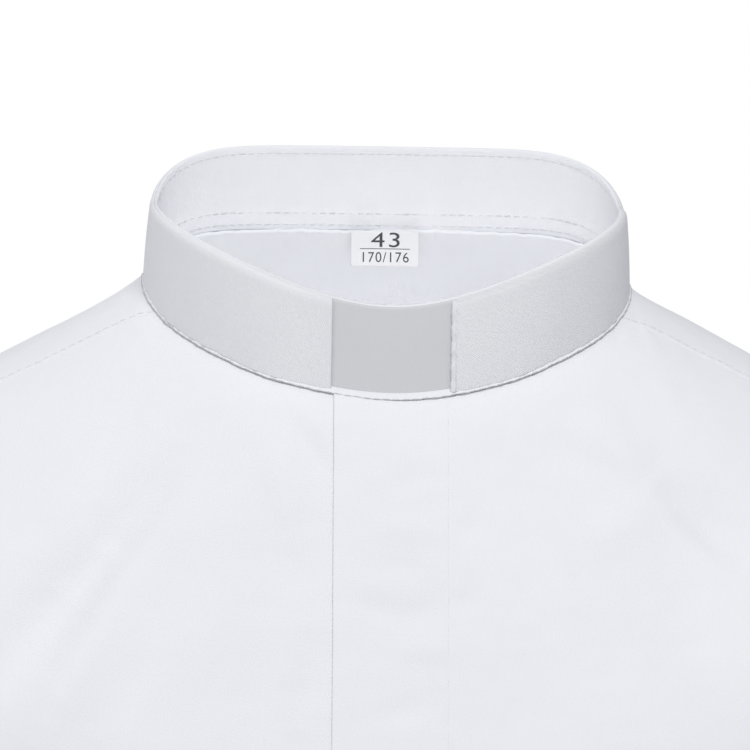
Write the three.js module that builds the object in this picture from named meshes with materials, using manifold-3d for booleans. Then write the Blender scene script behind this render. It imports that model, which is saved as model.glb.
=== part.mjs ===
// A long-sleeved clergy shirt with a tab collar and a covered front placket, filled out as if worn.
// Sizes are in millimetres. +Z is up, the front faces -Y, and +X is the wearer's left.
// The origin is the middle of the neck opening, level with the collar seam at the sides of the neck.
import * as THREE from "three";
import { mergeVertices } from "three/addons/utils/BufferGeometryUtils.js";
import Module from "manifold-3d";

const wasm = await Module();
wasm.setup();

const DEG = Math.PI / 180;
const V = (x, y, z) => new THREE.Vector3(x, y, z);

// Cloth and clearances.
const CLOTH = 1.5;
const SEAM_GAP = 0.3;
const ON_TOP_GAP = 0.3;

// Collar: an inner stand with a lip along its foot, an outer fall with a window in front, and a stiff tab.
const STAND_WALL = 1.0;
const FALL_WALL = 1.0;
const TAB_WALL = 0.7;
const LIP_HEIGHT = 1.1;
const LIP_PROUD = 0.3;
const LIP_CLEARANCE = 0.6;
const LEAST_OUTWARD = 0.75;
const COLLAR_GAP = 0.3;
const WINDOW_HALF = 17.2;
const TAB_TUCK = 13;
const TAB_BELOW_RIM = 0.8;
const POCKET_EASE = 22;
const COLLAR_SIDES = 60;

// Front placket, size tag and sleeve trimmings.
const PLACKET_HALF = 16.6;
const PLACKET_WALL = 1.2;
const FRONT_LAP_X = 12;
const TAG_HALF = 10.3;
const TAG_DROP = 12.5;
const TAG_WALL = 0.6;
const CUFF_WALL = 2.0;
const CUFF_HEIGHT = 64;
const CUFF_LAP = 24;
const SLIT_WIDTH = 22;
const SLIT_LENGTH = 135;
const CUFF_BUTTON = 5.5;
const SLIT_BUTTON = 4.5;

// A short table as a list of rows with named columns.
const table = (columns, rows) =>
  rows.map((row) => Object.fromEntries(columns.map((name, i) => [name, row[i]])));

// Value of one column at a fractional row, on a smooth curve through the rows.
function smoothColumn(rows, at, column) {
  const k = Math.min(Math.max(Math.floor(at), 0), rows.length - 2);
  const f = at - k;
  const value = (i) => rows[Math.min(Math.max(i, 0), rows.length - 1)][column];
  const [a, b, c, d] = [value(k - 1), value(k), value(k + 1), value(k + 2)];
  const rise = (c - a) / 2;
  const fall = (d - b) / 2;
  return b + f * rise + f * f * (3 * (c - b) - 2 * rise - fall) + f * f * f * (2 * (b - c) + rise + fall);
}

// Body sections from the neckline to the hem. half is the half width, front and back are the depths from
// the section's centre, shift is that centre along Y, and square is 2 for an ellipse and more for a box.
// A section's height goes from zSide to zFront and zBack, and dip and rise say how steeply.
const BODY_COLUMNS = ["name", "half", "front", "back", "shift", "square", "zFront", "zSide", "zBack", "dip", "rise"];
const BODY = table(BODY_COLUMNS, [
  ["neckline", 71, 66, 42, 0, 2.6, -28.5, 0, 12, 1.6, 18],
  ["neck base", 85, 77, 56, 0, 2.4, -41, -8, -2, 1.75, 4],
  ["inner shoulder", 129, 96, 78, 0, 2.3, -83, -32, -22, 1.9, 3],
  ["mid shoulder", 171, 112, 94, 0, 2.3, -122, -54, -60, 2, 2.2],
  ["shoulder tip", 212, 124, 104, -2, 2.35, -162, -77, -102, 2, 2],
  ["mid armhole", 219, 130, 110, -5, 2.4, -206, -152, -168, 2, 2],
  ["armpit", 222, 133, 112, -8, 2.4, -250, -246, -248, 2, 2],
  ["ribs", 210, 129, 107, -8, 2.35, -345, -345, -345, 2, 2],
  ["waist", 202, 125, 102, -8, 2.3, -448, -442, -448, 2, 2],
  ["hip", 207, 122, 107, -8, 2.3, -556, -538, -560, 2, 2],
  ["seat", 215, 122, 112, -8, 2.3, -650, -610, -662, 1.6, 2.6],
  ["hem", 221, 123, 115, -8, 2.3, -742, -668, -762, 1.3, 3.2],
]);
const ROW = Object.fromEntries(BODY.map((row, i) => [row.name, i]));

// Rim of the collar, in the same columns as the body sections.
const RIM = table(BODY_COLUMNS, [["rim", 69.4, 61.1, 38.1, -5.6, 2.9, -3.5, 22.6, 37.8, 2.5, 16]])[0];

// Large soft folds of the body: a ridge or trough from one place to another, by angle round the body
// (0 is the front, 90 the wearer's left) and by section row. Positive height stands out.
const FOLD_COLUMNS = ["angleA", "rowA", "angleB", "rowB", "width", "height"];
const BODY_FOLDS = table(FOLD_COLUMNS, [
  [66, 5.3, 22, 4.4, 26, -3.6],
  [-66, 5.3, -20, 4.5, 26, -4.2],
  [72, 6.0, 38, 5.5, 25, 3.2],
  [-72, 6.0, -36, 5.6, 25, 2.8],
  [78, 6.5, 42, 7.2, 27, -3.4],
  [-78, 6.5, -46, 7.1, 27, -4.0],
  [60, 7.6, 50, 10.9, 30, 5.0],
  [-57, 7.5, -50, 10.9, 30, 5.5],
  [33, 8.2, 29, 10.9, 27, -3.6],
  [-33, 8.4, -27, 10.9, 27, -3.8],
  [114, 5.5, 152, 4.7, 26, -3.6],
  [-114, 5.5, -150, 4.8, 26, -4.0],
  [118, 7.4, 128, 10.9, 32, 5.5],
  [-120, 7.4, -130, 10.9, 32, 5.2],
  [150, 7.2, 152, 10.9, 30, -4.4],
  [-152, 7.3, -156, 10.9, 30, -4.6],
  [176, 6.6, 182, 10.9, 28, 4.0],
]);

// Evenly spaced numbers from a to b, both included.
const stepsBetween = (a, b, steps) => Array.from({ length: steps + 1 }, (_, i) => a + ((b - a) * i) / steps);
const wrapAngle = (a) => Math.atan2(Math.sin(a), Math.cos(a));
const powAbs = (x, n) => Math.pow(Math.abs(x), n);

// Point of a section at an angle round the body.
function sectionPoint(section, angle) {
  const s = Math.sin(angle);
  const c = Math.cos(angle);
  const depth = c > 0 ? section.front : section.back;
  const reach = powAbs(s / section.half, section.square) + powAbs(c / depth, section.square);
  const r = Math.pow(reach, -1 / section.square);
  const z =
    c > 0
      ? section.zSide + (section.zFront - section.zSide) * powAbs(c, section.dip)
      : section.zSide + (section.zBack - section.zSide) * (1 - powAbs(s, section.rise));
  return V(r * s, section.shift - r * c, z);
}

function plainBody(angle, row) {
  const section = Object.fromEntries(
    BODY_COLUMNS.slice(1).map((column) => [column, smoothColumn(BODY, row, column)]),
  );
  return sectionPoint(section, angle);
}

// Each fold runs along a chain of points on the body.
const FOLD_LINKS = 6;
const foldLines = BODY_FOLDS.map((fold) => {
  const line = stepsBetween(0, 1, FOLD_LINKS).map((share) => {
    const angle = THREE.MathUtils.lerp(fold.angleA, fold.angleB, share) * DEG;
    return plainBody(angle, THREE.MathUtils.lerp(fold.rowA, fold.rowB, share));
  });
  return { ...fold, line };
});
// How far the folds move a point of the body out: each is highest on its line and fades to its ends.
function foldHeight(point) {
  let total = 0;
  for (const { line, width, height } of foldLines) {
    let best = 0;
    for (let i = 0; i < FOLD_LINKS; i += 1) {
      const along = line[i + 1].clone().sub(line[i]);
      const share = THREE.MathUtils.clamp(point.clone().sub(line[i]).dot(along) / along.lengthSq(), 0, 1);
      const away = point.distanceTo(line[i].clone().addScaledVector(along, share)) / width;
      const taper = Math.sin(Math.PI * (0.1 + (0.8 * (i + share)) / FOLD_LINKS));
      best = Math.max(best, Math.exp(-away * away) * taper);
    }
    total += height * best;
  }
  return total;
}

const STEP = 1e-3;
function normalOf(surface, a, b) {
  const dA = surface(a + STEP, b).sub(surface(a - STEP, b));
  const dB = surface(a, b + STEP).sub(surface(a, b - STEP));
  return dB.cross(dA).normalize();
}
const plainNormal = (angle, row) => normalOf(plainBody, angle, Math.max(row, STEP));

// The shirt's outer body surface with its folds, and its outward normal.
function bodyPoint(angle, row) {
  const point = plainBody(angle, row);
  const height = foldHeight(point);
  return Math.abs(height) < 0.02 ? point : point.addScaledVector(plainNormal(angle, row), height);
}
const bodyNormal = (angle, row) => normalOf(bodyPoint, angle, Math.max(row, STEP));
const bodyAt = (angle, row) => ({ point: bodyPoint(angle, row), normal: bodyNormal(angle, row) });

// Solids from grids: a closed wall between two grids of points, whose rows may join up into a ring.
function wall(outer, inner, ring = false) {
  const rows = outer.length;
  const columns = outer[0].length;
  const faces = [];
  const quad = (a, b, c, d) => faces.push(a, d, c, a, c, b);
  const spans = ring ? columns : columns - 1;
  for (let j = 0; j < rows; j += 1) {
    for (let i = 0; i < spans; i += 1) {
      const n = (i + 1) % columns;
      if (j + 1 < rows) {
        quad(outer[j][i], outer[j][n], outer[j + 1][n], outer[j + 1][i]);
        quad(inner[j][n], inner[j][i], inner[j + 1][i], inner[j + 1][n]);
      }
    }
  }
  for (let i = 0; i < spans; i += 1) {
    const n = (i + 1) % columns;
    quad(inner[0][i], inner[0][n], outer[0][n], outer[0][i]);
    quad(outer[rows - 1][i], outer[rows - 1][n], inner[rows - 1][n], inner[rows - 1][i]);
  }
  if (!ring) {
    for (let j = 0; j + 1 < rows; j += 1) {
      quad(inner[j][0], outer[j][0], outer[j + 1][0], inner[j + 1][0]);
      const e = columns - 1;
      quad(outer[j][e], inner[j][e], inner[j + 1][e], outer[j + 1][e]);
    }
  }
  return facesToGeometry(faces);
}
function facesToGeometry(points) {
  const numbers = new Float32Array(points.length * 3);
  points.forEach((p, i) => numbers.set([p.x, p.y, p.z], i * 3));
  return new THREE.BufferGeometry().setAttribute("position", new THREE.BufferAttribute(numbers, 3));
}

// Moves the chosen edges of a grid of points in by half a seam gap, along the grid lines.
function drawIn(grid, { top, bottom, left, right }) {
  const rows = grid.length - 1;
  const columns = grid[0].length - 1;
  const half = SEAM_GAP / 2;
  const pull = (a, b) => a.point.addScaledVector(b.point.clone().sub(a.point).normalize(), half);
  for (let i = 0; i <= columns; i += 1) {
    if (top) pull(grid[0][i], grid[1][i]);
    if (bottom) pull(grid[rows][i], grid[rows - 1][i]);
  }
  for (let j = 0; j <= rows; j += 1) {
    if (left) pull(grid[j][0], grid[j][1]);
    if (right) pull(grid[j][columns], grid[j][columns - 1]);
  }
  return grid;
}
function panel(grid, thickness = CLOTH, lift = 0) {
  const layer = (offset) => grid.map((row) => row.map((p) => p.point.clone().addScaledVector(p.normal, offset)));
  return wall(layer(lift + (lift > 0 ? thickness : 0)), layer(lift > 0 ? lift : -thickness));
}
const gridOf = (rows, columns, place) =>
  Array.from({ length: rows + 1 }, (_, j) =>
    Array.from({ length: columns + 1 }, (_, i) => place(i / columns, j, i)),
  );

// Seams. The armhole is an oval round the shoulder, by its own angle: 0 at the tip and 180 at the armpit.
const ARMHOLE_FRONT = 22 * DEG;
const ARMHOLE_BACK = 23 * DEG;
const FRONT_CORNER = 20 * DEG;
const BACK_CORNER = 46 * DEG;
const YOKE_NECK = 62 * DEG;
const YOKE_BACK_ROW = 3.66;
const armholeRow = (turn) => ROW["shoulder tip"] + 1 - Math.cos(turn);
const armholeFront = (turn) => 90 * DEG - ARMHOLE_FRONT * Math.sin(turn);
const armholeBack = (turn) => 90 * DEG + ARMHOLE_BACK * Math.sin(turn);
const FRONT_CORNER_ROW = armholeRow(FRONT_CORNER);
const easeOut = (share) => 1 - (1 - share) * (1 - share);
const seamShares = [0, 0.06, 0.16, 0.3, 0.5, 0.75, 1];
const yokeFrontAngle = (share) =>
  THREE.MathUtils.lerp(YOKE_NECK, armholeFront(FRONT_CORNER), easeOut(share));
const yokeBackRow = (angle) =>
  YOKE_BACK_ROW +
  (armholeRow(BACK_CORNER) - YOKE_BACK_ROW) * (Math.sin(angle) / Math.sin(armholeBack(BACK_CORNER))) ** 2;

const ARMHOLE_STEPS = 8;
const SHOULDER_STEPS = 4;
const BACK_COLUMNS = 18;
const FRONT_COLUMNS = 10;
const lowerRows = [6.35, 6.8, 7.4, 8, 8.6, 9.2, 9.8, 10.4, 11];

// Rows of a front panel: beside the yoke, beside the armhole, and down the side seam. Beside the armhole
// a row starts at an even height in the middle and ends at its corner of the armhole.
const frontRows = [
  ...seamShares.map((share) => ({
    middle: share * FRONT_CORNER_ROW,
    row: share * FRONT_CORNER_ROW,
    edge: yokeFrontAngle(share),
  })),
  ...stepsBetween(FRONT_CORNER, Math.PI, ARMHOLE_STEPS)
    .map((turn, i) => ({
      middle: THREE.MathUtils.lerp(FRONT_CORNER_ROW, ROW.armpit, i / ARMHOLE_STEPS),
      row: armholeRow(turn),
      edge: armholeFront(turn),
    }))
    .slice(1),
  ...lowerRows.map((row) => ({ middle: row, row, edge: 90 * DEG })),
];
// Turns a row's even height in the middle into its corner's height at the edge, mostly near the edge.
const towardsEdge = (middle, edge, share) => THREE.MathUtils.lerp(middle, edge, share ** 5);
// Angle at which a section is a given distance to the side of the centre front.
function frontAngle(x, row) {
  let angle = Math.atan2(x, smoothColumn(BODY, row, "front"));
  for (let turn = 0; turn < 3; turn += 1) angle += Math.atan2(x - plainBody(angle, row).x, 100);
  return angle;
}
// side is 1 for the wearer's left and -1 for the right. lapX is where the panel ends under the placket.
function frontPanel(side, lapX) {
  const grid = gridOf(frontRows.length - 1, FRONT_COLUMNS, (share, j) => {
    const { middle, row, edge } = frontRows[j];
    const start = frontAngle(lapX * side, middle);
    return bodyAt(side * THREE.MathUtils.lerp(start, edge, share), towardsEdge(middle, row, share));
  });
  if (side < 0) grid.forEach((row) => row.reverse());
  drawIn(grid, { left: true, right: true });
  return panel(grid);
}

function backPanel() {
  const upper = stepsBetween(BACK_CORNER, Math.PI, ARMHOLE_STEPS);
  const rows = upper.length + lowerRows.length - 1;
  const grid = gridOf(rows, BACK_COLUMNS, (share, j) => {
    if (j >= upper.length) return bodyAt((90 + 180 * share) * DEG, lowerRows[j - upper.length]);
    const seamAngle = THREE.MathUtils.lerp(armholeBack(BACK_CORNER), 2 * Math.PI - armholeBack(BACK_CORNER), share);
    const topRow = yokeBackRow(seamAngle);
    const atEdge = (armholeRow(upper[j]) - armholeRow(BACK_CORNER)) / (ROW.armpit - armholeRow(BACK_CORNER));
    const down = towardsEdge(j / ARMHOLE_STEPS, atEdge, Math.abs(2 * share - 1));
    const edge = armholeBack(upper[j]);
    return bodyAt(
      THREE.MathUtils.lerp(edge, 2 * Math.PI - edge, share),
      THREE.MathUtils.lerp(topRow, ROW.armpit, down),
    );
  });
  return panel(drawIn(grid, { top: true, left: true, right: true }));
}

// Outer edge of the yoke as places {angle, row}: the armhole, the back seam and the other armhole.
function yokeEdge() {
  const shoulder = stepsBetween(-FRONT_CORNER, BACK_CORNER, SHOULDER_STEPS).map((turn) => ({
    angle: turn < 0 ? armholeFront(-turn) : armholeBack(turn),
    row: armholeRow(Math.abs(turn)),
  }));
  const seam = stepsBetween(armholeBack(BACK_CORNER), 2 * Math.PI - armholeBack(BACK_CORNER), BACK_COLUMNS);
  const other = shoulder.map(({ angle, row }) => ({ angle: 2 * Math.PI - angle, row })).reverse();
  return [...shoulder, ...seam.slice(1, -1).map((angle) => ({ angle, row: yokeBackRow(angle) })), ...other];
}
function yokePanel() {
  const edge = yokeEdge();
  const columns = edge.length - 1;
  const grid = gridOf(seamShares.length - 1, columns, (share, j, i) => {
    const neckAngle = THREE.MathUtils.lerp(YOKE_NECK, 2 * Math.PI - YOKE_NECK, share);
    const down = seamShares[j];
    return bodyAt(THREE.MathUtils.lerp(neckAngle, edge[i].angle, easeOut(down)), edge[i].row * down);
  });
  return panel(drawIn(grid, { bottom: true, left: true, right: true }));
}

// Placket: a folded strip down the front, on top of both front panels.
function placketStrip() {
  const grid = gridOf(frontRows.length - 1, 4, (share, j) => {
    const { middle } = frontRows[j];
    return bodyAt(frontAngle(THREE.MathUtils.lerp(-PLACKET_HALF, PLACKET_HALF, share), middle), middle);
  });
  const clearOfLip = lipEdge(0).distanceTo(bodyPoint(0, 0)) + SEAM_GAP;
  grid[0].forEach((place, i) => {
    place.point.addScaledVector(grid[2][i].point.clone().sub(place.point).normalize(), clearOfLip);
  });
  return panel(grid, PLACKET_WALL, ON_TOP_GAP);
}

// Collar. At each angle the wall rises from the neckline to the rim, and out is square to it.
const smoothStep = (x) => THREE.MathUtils.smoothstep(x, 0, 1);
// Width of the pocket between stand and fall: wide enough for the tab in front, narrow elsewhere.
function pocketGap(angle) {
  const x = Math.abs(sectionPoint(RIM, angle).x);
  const isFront = Math.cos(angle) > 0;
  const near = isFront ? 1 - smoothStep((x - WINDOW_HALF - TAB_TUCK) / POCKET_EASE) : 0;
  return COLLAR_GAP + near * (TAB_WALL + COLLAR_GAP);
}
function collarFrame(angle) {
  const foot = bodyPoint(angle, 0).addScaledVector(bodyNormal(angle, 0), ON_TOP_GAP + 0.1);
  const rim = sectionPoint(RIM, angle);
  const up = rim.clone().sub(foot);
  const height = up.length();
  up.normalize();
  const tangent = sectionPoint(RIM, angle + 0.01).sub(sectionPoint(RIM, angle - 0.01));
  const out = tangent.cross(up).normalize();
  return { foot, up, out, height };
}
// Point of the collar at an angle, a distance up the wall and a distance out from its inner face.
function collarPoint(angle, rise, outBy) {
  const { foot, up, out } = collarFrame(angle);
  return foot.clone().addScaledVector(up, rise).addScaledVector(out, outBy);
}
// Direction in which the panels fall away from the neckline.
const panelsDown = (angle) => bodyPoint(angle, 0.3).sub(bodyPoint(angle, 0)).normalize();
// Length along the panels to a distance out. Where they fall away steeply, it is cut short.
const alongPanels = (angle, outBy) => outBy / Math.max(panelsDown(angle).dot(collarFrame(angle).out), LEAST_OUTWARD);
// Height up the wall of the panels at a distance out, and of the foot of what stands above the lip there.
const panelHeight = (angle, outBy) => alongPanels(angle, outBy) * panelsDown(angle).dot(collarFrame(angle).up);
const aboveLip = (angle, outBy) => panelHeight(angle, outBy) + LIP_HEIGHT + LIP_CLEARANCE;
// Outer edge of the lip, which lies on the panels and is a little proud of the fall.
function lipEdge(angle) {
  const outBy = STAND_WALL + pocketGap(angle) + FALL_WALL + LIP_PROUD;
  return bodyPoint(angle, 0)
    .addScaledVector(panelsDown(angle), alongPanels(angle, outBy))
    .addScaledVector(bodyNormal(angle, 0.1), ON_TOP_GAP + 0.1);
}
const collarAngles = stepsBetween(0, 2 * Math.PI, COLLAR_SIDES).slice(0, -1);

function collarStand() {
  const faces = [];
  const rings = collarAngles.map((angle) => {
    const { height, up } = collarFrame(angle);
    const edge = lipEdge(angle);
    return [
      collarPoint(angle, 0, 0),
      edge,
      edge.clone().addScaledVector(up, LIP_HEIGHT),
      collarPoint(angle, panelHeight(angle, STAND_WALL) + LIP_HEIGHT, STAND_WALL),
      collarPoint(angle, height, STAND_WALL),
      collarPoint(angle, height, 0),
    ];
  });
  rings.forEach((ring, i) => {
    const next = rings[(i + 1) % rings.length];
    ring.forEach((point, k) => {
      const m = (k + 1) % ring.length;
      faces.push(point, next[m], ring[m], point, next[k], next[m]);
    });
  });
  return facesToGeometry(faces);
}

// Angle at which the collar is a given distance to the side of the centre front.
function collarAngle(x) {
  let angle = Math.atan2(x, RIM.front);
  for (let turn = 0; turn < 4; turn += 1) angle += Math.atan2(x - sectionPoint(RIM, angle).x, 80);
  return angle;
}
// A strip of the collar wall between two angles. Each of heights gives a height up the wall from an angle and
// a distance out, and inBy is the strip's inner face, from the stand's inner face.
function collarStrip(angles, heights, inBy, thickness) {
  const layer = (extra) =>
    heights.map((heightAt) =>
      angles.map((angle) => {
        const outBy = inBy(angle) + extra;
        return collarPoint(angle, heightAt(angle, outBy), outBy);
      }),
    );
  const outer = layer(thickness).reverse();
  const inner = layer(0).reverse();
  return wall(outer, inner);
}
const rimHeight = (angle) => collarFrame(angle).height;
function collarFall() {
  const start = collarAngle(WINDOW_HALF);
  const angles = [start, ...collarAngles.filter((a) => a > start + 0.03 && a < 2 * Math.PI - start - 0.03)];
  angles.push(2 * Math.PI - start);
  const halfway = (angle, outBy) => (aboveLip(angle, outBy) + rimHeight(angle)) / 2;
  return collarStrip(angles, [aboveLip, halfway, rimHeight], (angle) => STAND_WALL + pocketGap(angle), FALL_WALL);
}
function collarTab() {
  const half = collarAngle(WINDOW_HALF + TAB_TUCK);
  const angles = stepsBetween(-half, half, 14);
  const heights = [aboveLip, (angle) => rimHeight(angle) - TAB_BELOW_RIM];
  return collarStrip(angles, heights, () => STAND_WALL + COLLAR_GAP, TAB_WALL);
}

// Size tag, hanging inside the back of the neck from the collar seam.
function sizeTag() {
  const seam = bodyPoint(Math.PI, 0).addScaledVector(bodyNormal(Math.PI, 0), -CLOTH);
  const top = seam.z + CLOTH / 2;
  const face = seam.y - SEAM_GAP - TAG_WALL;
  const grid = (offset) =>
    stepsBetween(0, 1, 3).map((down) =>
      stepsBetween(TAG_HALF, -TAG_HALF, 4).map((x) =>
        V(x, face + offset - 1.2 * (x / TAG_HALF) ** 2 * 0.5 - 1.6 * down * down, top - TAG_DROP * down),
      ),
    );
  return wall(grid(TAG_WALL), grid(0));
}

// Sleeve rings: ends of each ring's diameter on the outer and inner line of the arm, its half depth
// along Y and its centre along Y.
const SLEEVE = table(
  ["name", "outX", "outZ", "inX", "inZ", "half", "shift"],
  [
    ["armhole", 212, -77, 222, -246, 84, -5],
    ["cap", 244, -97, 228, -258, 84, -4],
    ["upper", 284, -150, 231, -276, 80, -2],
    ["biceps", 312, -222, 233, -303, 77, 0],
    ["arm", 327, -300, 236, -348, 74, 3],
    ["above elbow", 333, -378, 241, -400, 70, 5],
    ["elbow", 334, -442, 247, -448, 67, 4],
    ["forearm", 331, -515, 251, -513, 62, -3],
    ["lower arm", 327, -578, 254, -575, 57, -12],
    ["wrist", 322, -625, 257, -625, 47, -19],
  ],
);
const WRIST = SLEEVE.length - 1;
const SLEEVE_ROWS = 17;
// Soft folds of the sleeve: a ridge or trough at a row, round a stretch of the ring.
const SLEEVE_FOLDS = table(
  ["row", "slope", "turn", "spread", "width", "height"],
  [
    [1.6, 0.5, 60, 55, 0.4, -4],
    [2.6, -0.4, -70, 60, 0.4, -4],
    [5.3, 0.5, 150, 70, 0.33, -5],
    [6.2, -0.4, 170, 75, 0.33, -6],
    [6.9, 0.5, 120, 60, 0.33, 4],
    [5.9, -0.3, -20, 60, 0.4, 4],
    [7.7, 0.4, -60, 60, 0.36, -4],
    [8.3, -0.3, 60, 70, 0.3, 4],
  ],
);
const PLEATS_AT_CUFF = 6;
const PLEAT_DEPTH = 2.2;

// Ring point by the ring's own angle: 0 is the outer line of the arm, 90 the front and 180 the inner line.
function sleevePoint(turn, row) {
  const ring = Object.fromEntries(
    ["outX", "outZ", "inX", "inZ", "half", "shift"].map((c) => [c, smoothColumn(SLEEVE, row, c)]),
  );
  const out = V(ring.outX, ring.shift, ring.outZ);
  const inner = V(ring.inX, ring.shift, ring.inZ);
  const centre = out.clone().add(inner).multiplyScalar(0.5);
  const radius = out.clone().sub(inner).multiplyScalar(0.5);
  const length = radius.length();
  let puff = 0;
  for (const fold of SLEEVE_FOLDS) {
    const away = wrapAngle(turn - fold.turn * DEG) / (fold.spread * DEG);
    const line = (row - fold.row - fold.slope * away) / fold.width;
    puff += fold.height * Math.exp(-away * away - line * line);
  }
  const nearCuff = smoothStep((row - WRIST + 1.6) / 1.2) * (1 - smoothStep((row - WRIST + 0.5) / 0.5));
  puff += nearCuff * PLEAT_DEPTH * Math.cos(PLEATS_AT_CUFF * turn);
  const grow = 1 + puff / length;
  return centre
    .addScaledVector(radius, Math.cos(turn) * grow)
    .add(V(0, -ring.half * Math.sin(turn) * (1 + puff / ring.half), 0));
}

// Armhole corners in order, as places {angle, row}: up the front, over the shoulder and down the back.
function armholePlaces() {
  const front = stepsBetween(Math.PI, FRONT_CORNER, ARMHOLE_STEPS).map((turn) => ({
    angle: armholeFront(turn),
    row: armholeRow(turn),
  }));
  const over = stepsBetween(-FRONT_CORNER, BACK_CORNER, SHOULDER_STEPS).map((turn) => ({
    angle: turn < 0 ? armholeFront(-turn) : armholeBack(turn),
    row: armholeRow(Math.abs(turn)),
  }));
  const back = stepsBetween(BACK_CORNER, Math.PI, ARMHOLE_STEPS).map((turn) => ({
    angle: armholeBack(turn),
    row: armholeRow(turn),
  }));
  return [...front, ...over.slice(1), ...back.slice(1, -1)];
}
// The wearer's left sleeve as a grid of points, each with its outward normal.
function sleeveGrid() {
  const loop = armholePlaces().map(({ angle, row }) => bodyPoint(angle, row));
  const first = SLEEVE[0];
  const centre = V((first.outX + first.inX) / 2, first.shift, (first.outZ + first.inZ) / 2);
  const axis = V(first.outX - first.inX, 0, first.outZ - first.inZ);
  const radius = axis.length() / 2;
  axis.normalize();
  const turns = loop.map((point) => {
    const arm = point.clone().sub(centre);
    return Math.atan2(-arm.y / first.half, arm.dot(axis) / radius);
  });
  const offsets = loop.map((point, i) => point.clone().sub(sleevePoint(turns[i], 0)));
  const ease = 1.3;
  const rows = stepsBetween(0, 1, SLEEVE_ROWS).map((share) => WRIST * (0.82 * share + 0.18 * share * share));
  const points = rows.map((row) =>
    turns.map((turn, i) =>
      sleevePoint(turn, row).addScaledVector(offsets[i], (1 - smoothStep(row / 2)) ** ease),
    ),
  );
  const columns = turns.length;
  points[0].forEach((point, i) => {
    point.addScaledVector(points[1][i].clone().sub(point).normalize(), SEAM_GAP + 0.1);
  });
  return points.map((ring, j) =>
    ring.map((point, i) => {
      const before = ring[(i + columns - 1) % columns];
      const after = ring[(i + 1) % columns];
      const above = points[Math.max(j - 1, 0)][i];
      const below = points[Math.min(j + 1, points.length - 1)][i];
      const normal = below.clone().sub(above).cross(after.clone().sub(before)).normalize();
      return { point, normal };
    }),
  );
}
function sleeveTube() {
  const grid = sleeveGrid();
  grid[grid.length - 1].forEach(({ point }, i) => {
    point.addScaledVector(grid[grid.length - 2][i].point.clone().sub(point).normalize(), SEAM_GAP);
  });
  const layer = (offset) => grid.map((ring) => ring.map((p) => p.point.clone().addScaledVector(p.normal, offset)));
  return wall(layer(0), layer(-CLOTH), true);
}

// Cuff: a band once round the wrist whose end laps over its own start, at the back of the arm.
const CUFF_START = -118 * DEG;
const CUFF_STEPS = 30;
const CUFF_DROP = 2;
function cuffPlace(turn, down, outBy) {
  const wrist = SLEEVE[WRIST];
  const halfX = (wrist.outX - wrist.inX) / 2;
  const flare = 1 - 0.03 * down;
  const normal = V(Math.cos(turn) * wrist.half, -Math.sin(turn) * halfX, 0).normalize();
  return V(
    (wrist.outX + wrist.inX) / 2 + halfX * flare * Math.cos(turn),
    wrist.shift - wrist.half * flare * Math.sin(turn) - CUFF_DROP * down,
    wrist.outZ - CUFF_HEIGHT * down,
  ).addScaledVector(normal, outBy);
}
const cuffGirth = 2 * Math.PI * Math.hypot((SLEEVE[WRIST].outX - SLEEVE[WRIST].inX) / 2, SLEEVE[WRIST].half) * Math.SQRT1_2;
const CUFF_TURN = 2 * Math.PI * (1 + CUFF_LAP / cuffGirth);
// How far the band stands out at a share of its way round, to lap over its start.
const cuffLift = (share) => {
  const lapStart = 2 * Math.PI / CUFF_TURN;
  return (CUFF_WALL + ON_TOP_GAP + 0.3) * smoothStep((share - lapStart + 0.11) / 0.1);
};
function cuffBand() {
  const layer = (extra) =>
    [0, 0.5, 1].map((down) =>
      stepsBetween(0, 1, CUFF_STEPS).map((share) =>
        cuffPlace(CUFF_START - CUFF_TURN * share, down, cuffLift(share) + extra),
      ),
    );
  return wall(layer(0), layer(-CUFF_WALL));
}

// Sleeve slit: a pointed strip on the sleeve above the cuff's lap, with its own small button.
const SLIT_TURN = CUFF_START - CUFF_TURN + (CUFF_LAP / 2 / cuffGirth) * 2 * Math.PI;
const SLIT_STEPS = 8;
const sleeveNormal = (turn, row) => normalOf(sleevePoint, turn, row).negate();
function slitPlace(across, up) {
  const row = WRIST - 0.06 - (up * SLIT_LENGTH) / 57;
  const half = smoothColumn(SLEEVE, row, "half");
  const turn = SLIT_TURN + across / half;
  const outward = sleeveNormal(turn, row);
  return { point: sleevePoint(turn, row), normal: outward };
}
function slitStrip() {
  const grid = gridOf(SLIT_STEPS, 4, (share, j) => {
    const up = 1 - j / SLIT_STEPS;
    const narrow = Math.min(1, (1 - up) * SLIT_STEPS * 0.9 + 0.12);
    return slitPlace((0.5 - share) * SLIT_WIDTH * narrow, up);
  });
  return panel(grid, CLOTH, ON_TOP_GAP + 0.5);
}

// Four-hole shirt button: a dished disc with a rounded rim, its back on the plane z = 0.
function buttonGeometry(radius) {
  const profile = [
    [0, 0],
    [radius * 0.82, 0],
    [radius, 0.9],
    [radius, 1.7],
    [radius * 0.86, 2.3],
    [radius * 0.66, 1.7],
    [0, 1.5],
  ].map(([r, z]) => new THREE.Vector2(r, z));
  const disc = new THREE.LatheGeometry(profile, 20).rotateX(Math.PI / 2);
  let solid = toSolid(disc);
  for (let k = 0; k < 4; k += 1) {
    const hole = new THREE.CylinderGeometry(radius * 0.13, radius * 0.13, 8, 8).rotateX(Math.PI / 2);
    const angle = (k + 0.5) * 90 * DEG;
    hole.translate(radius * 0.33 * Math.cos(angle), radius * 0.33 * Math.sin(angle), 0);
    solid = solid.subtract(toSolid(hole));
  }
  return fromSolid(solid);
}
function toSolid(geometry) {
  const bare = geometry.clone();
  bare.deleteAttribute("normal");
  bare.deleteAttribute("uv");
  const merged = mergeVertices(bare, 1e-4);
  const solid = new wasm.Manifold(
    new wasm.Mesh({
      numProp: 3,
      vertProperties: merged.attributes.position.array,
      triVerts: new Uint32Array(merged.index.array),
    }),
  );
  return solid;
}
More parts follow.
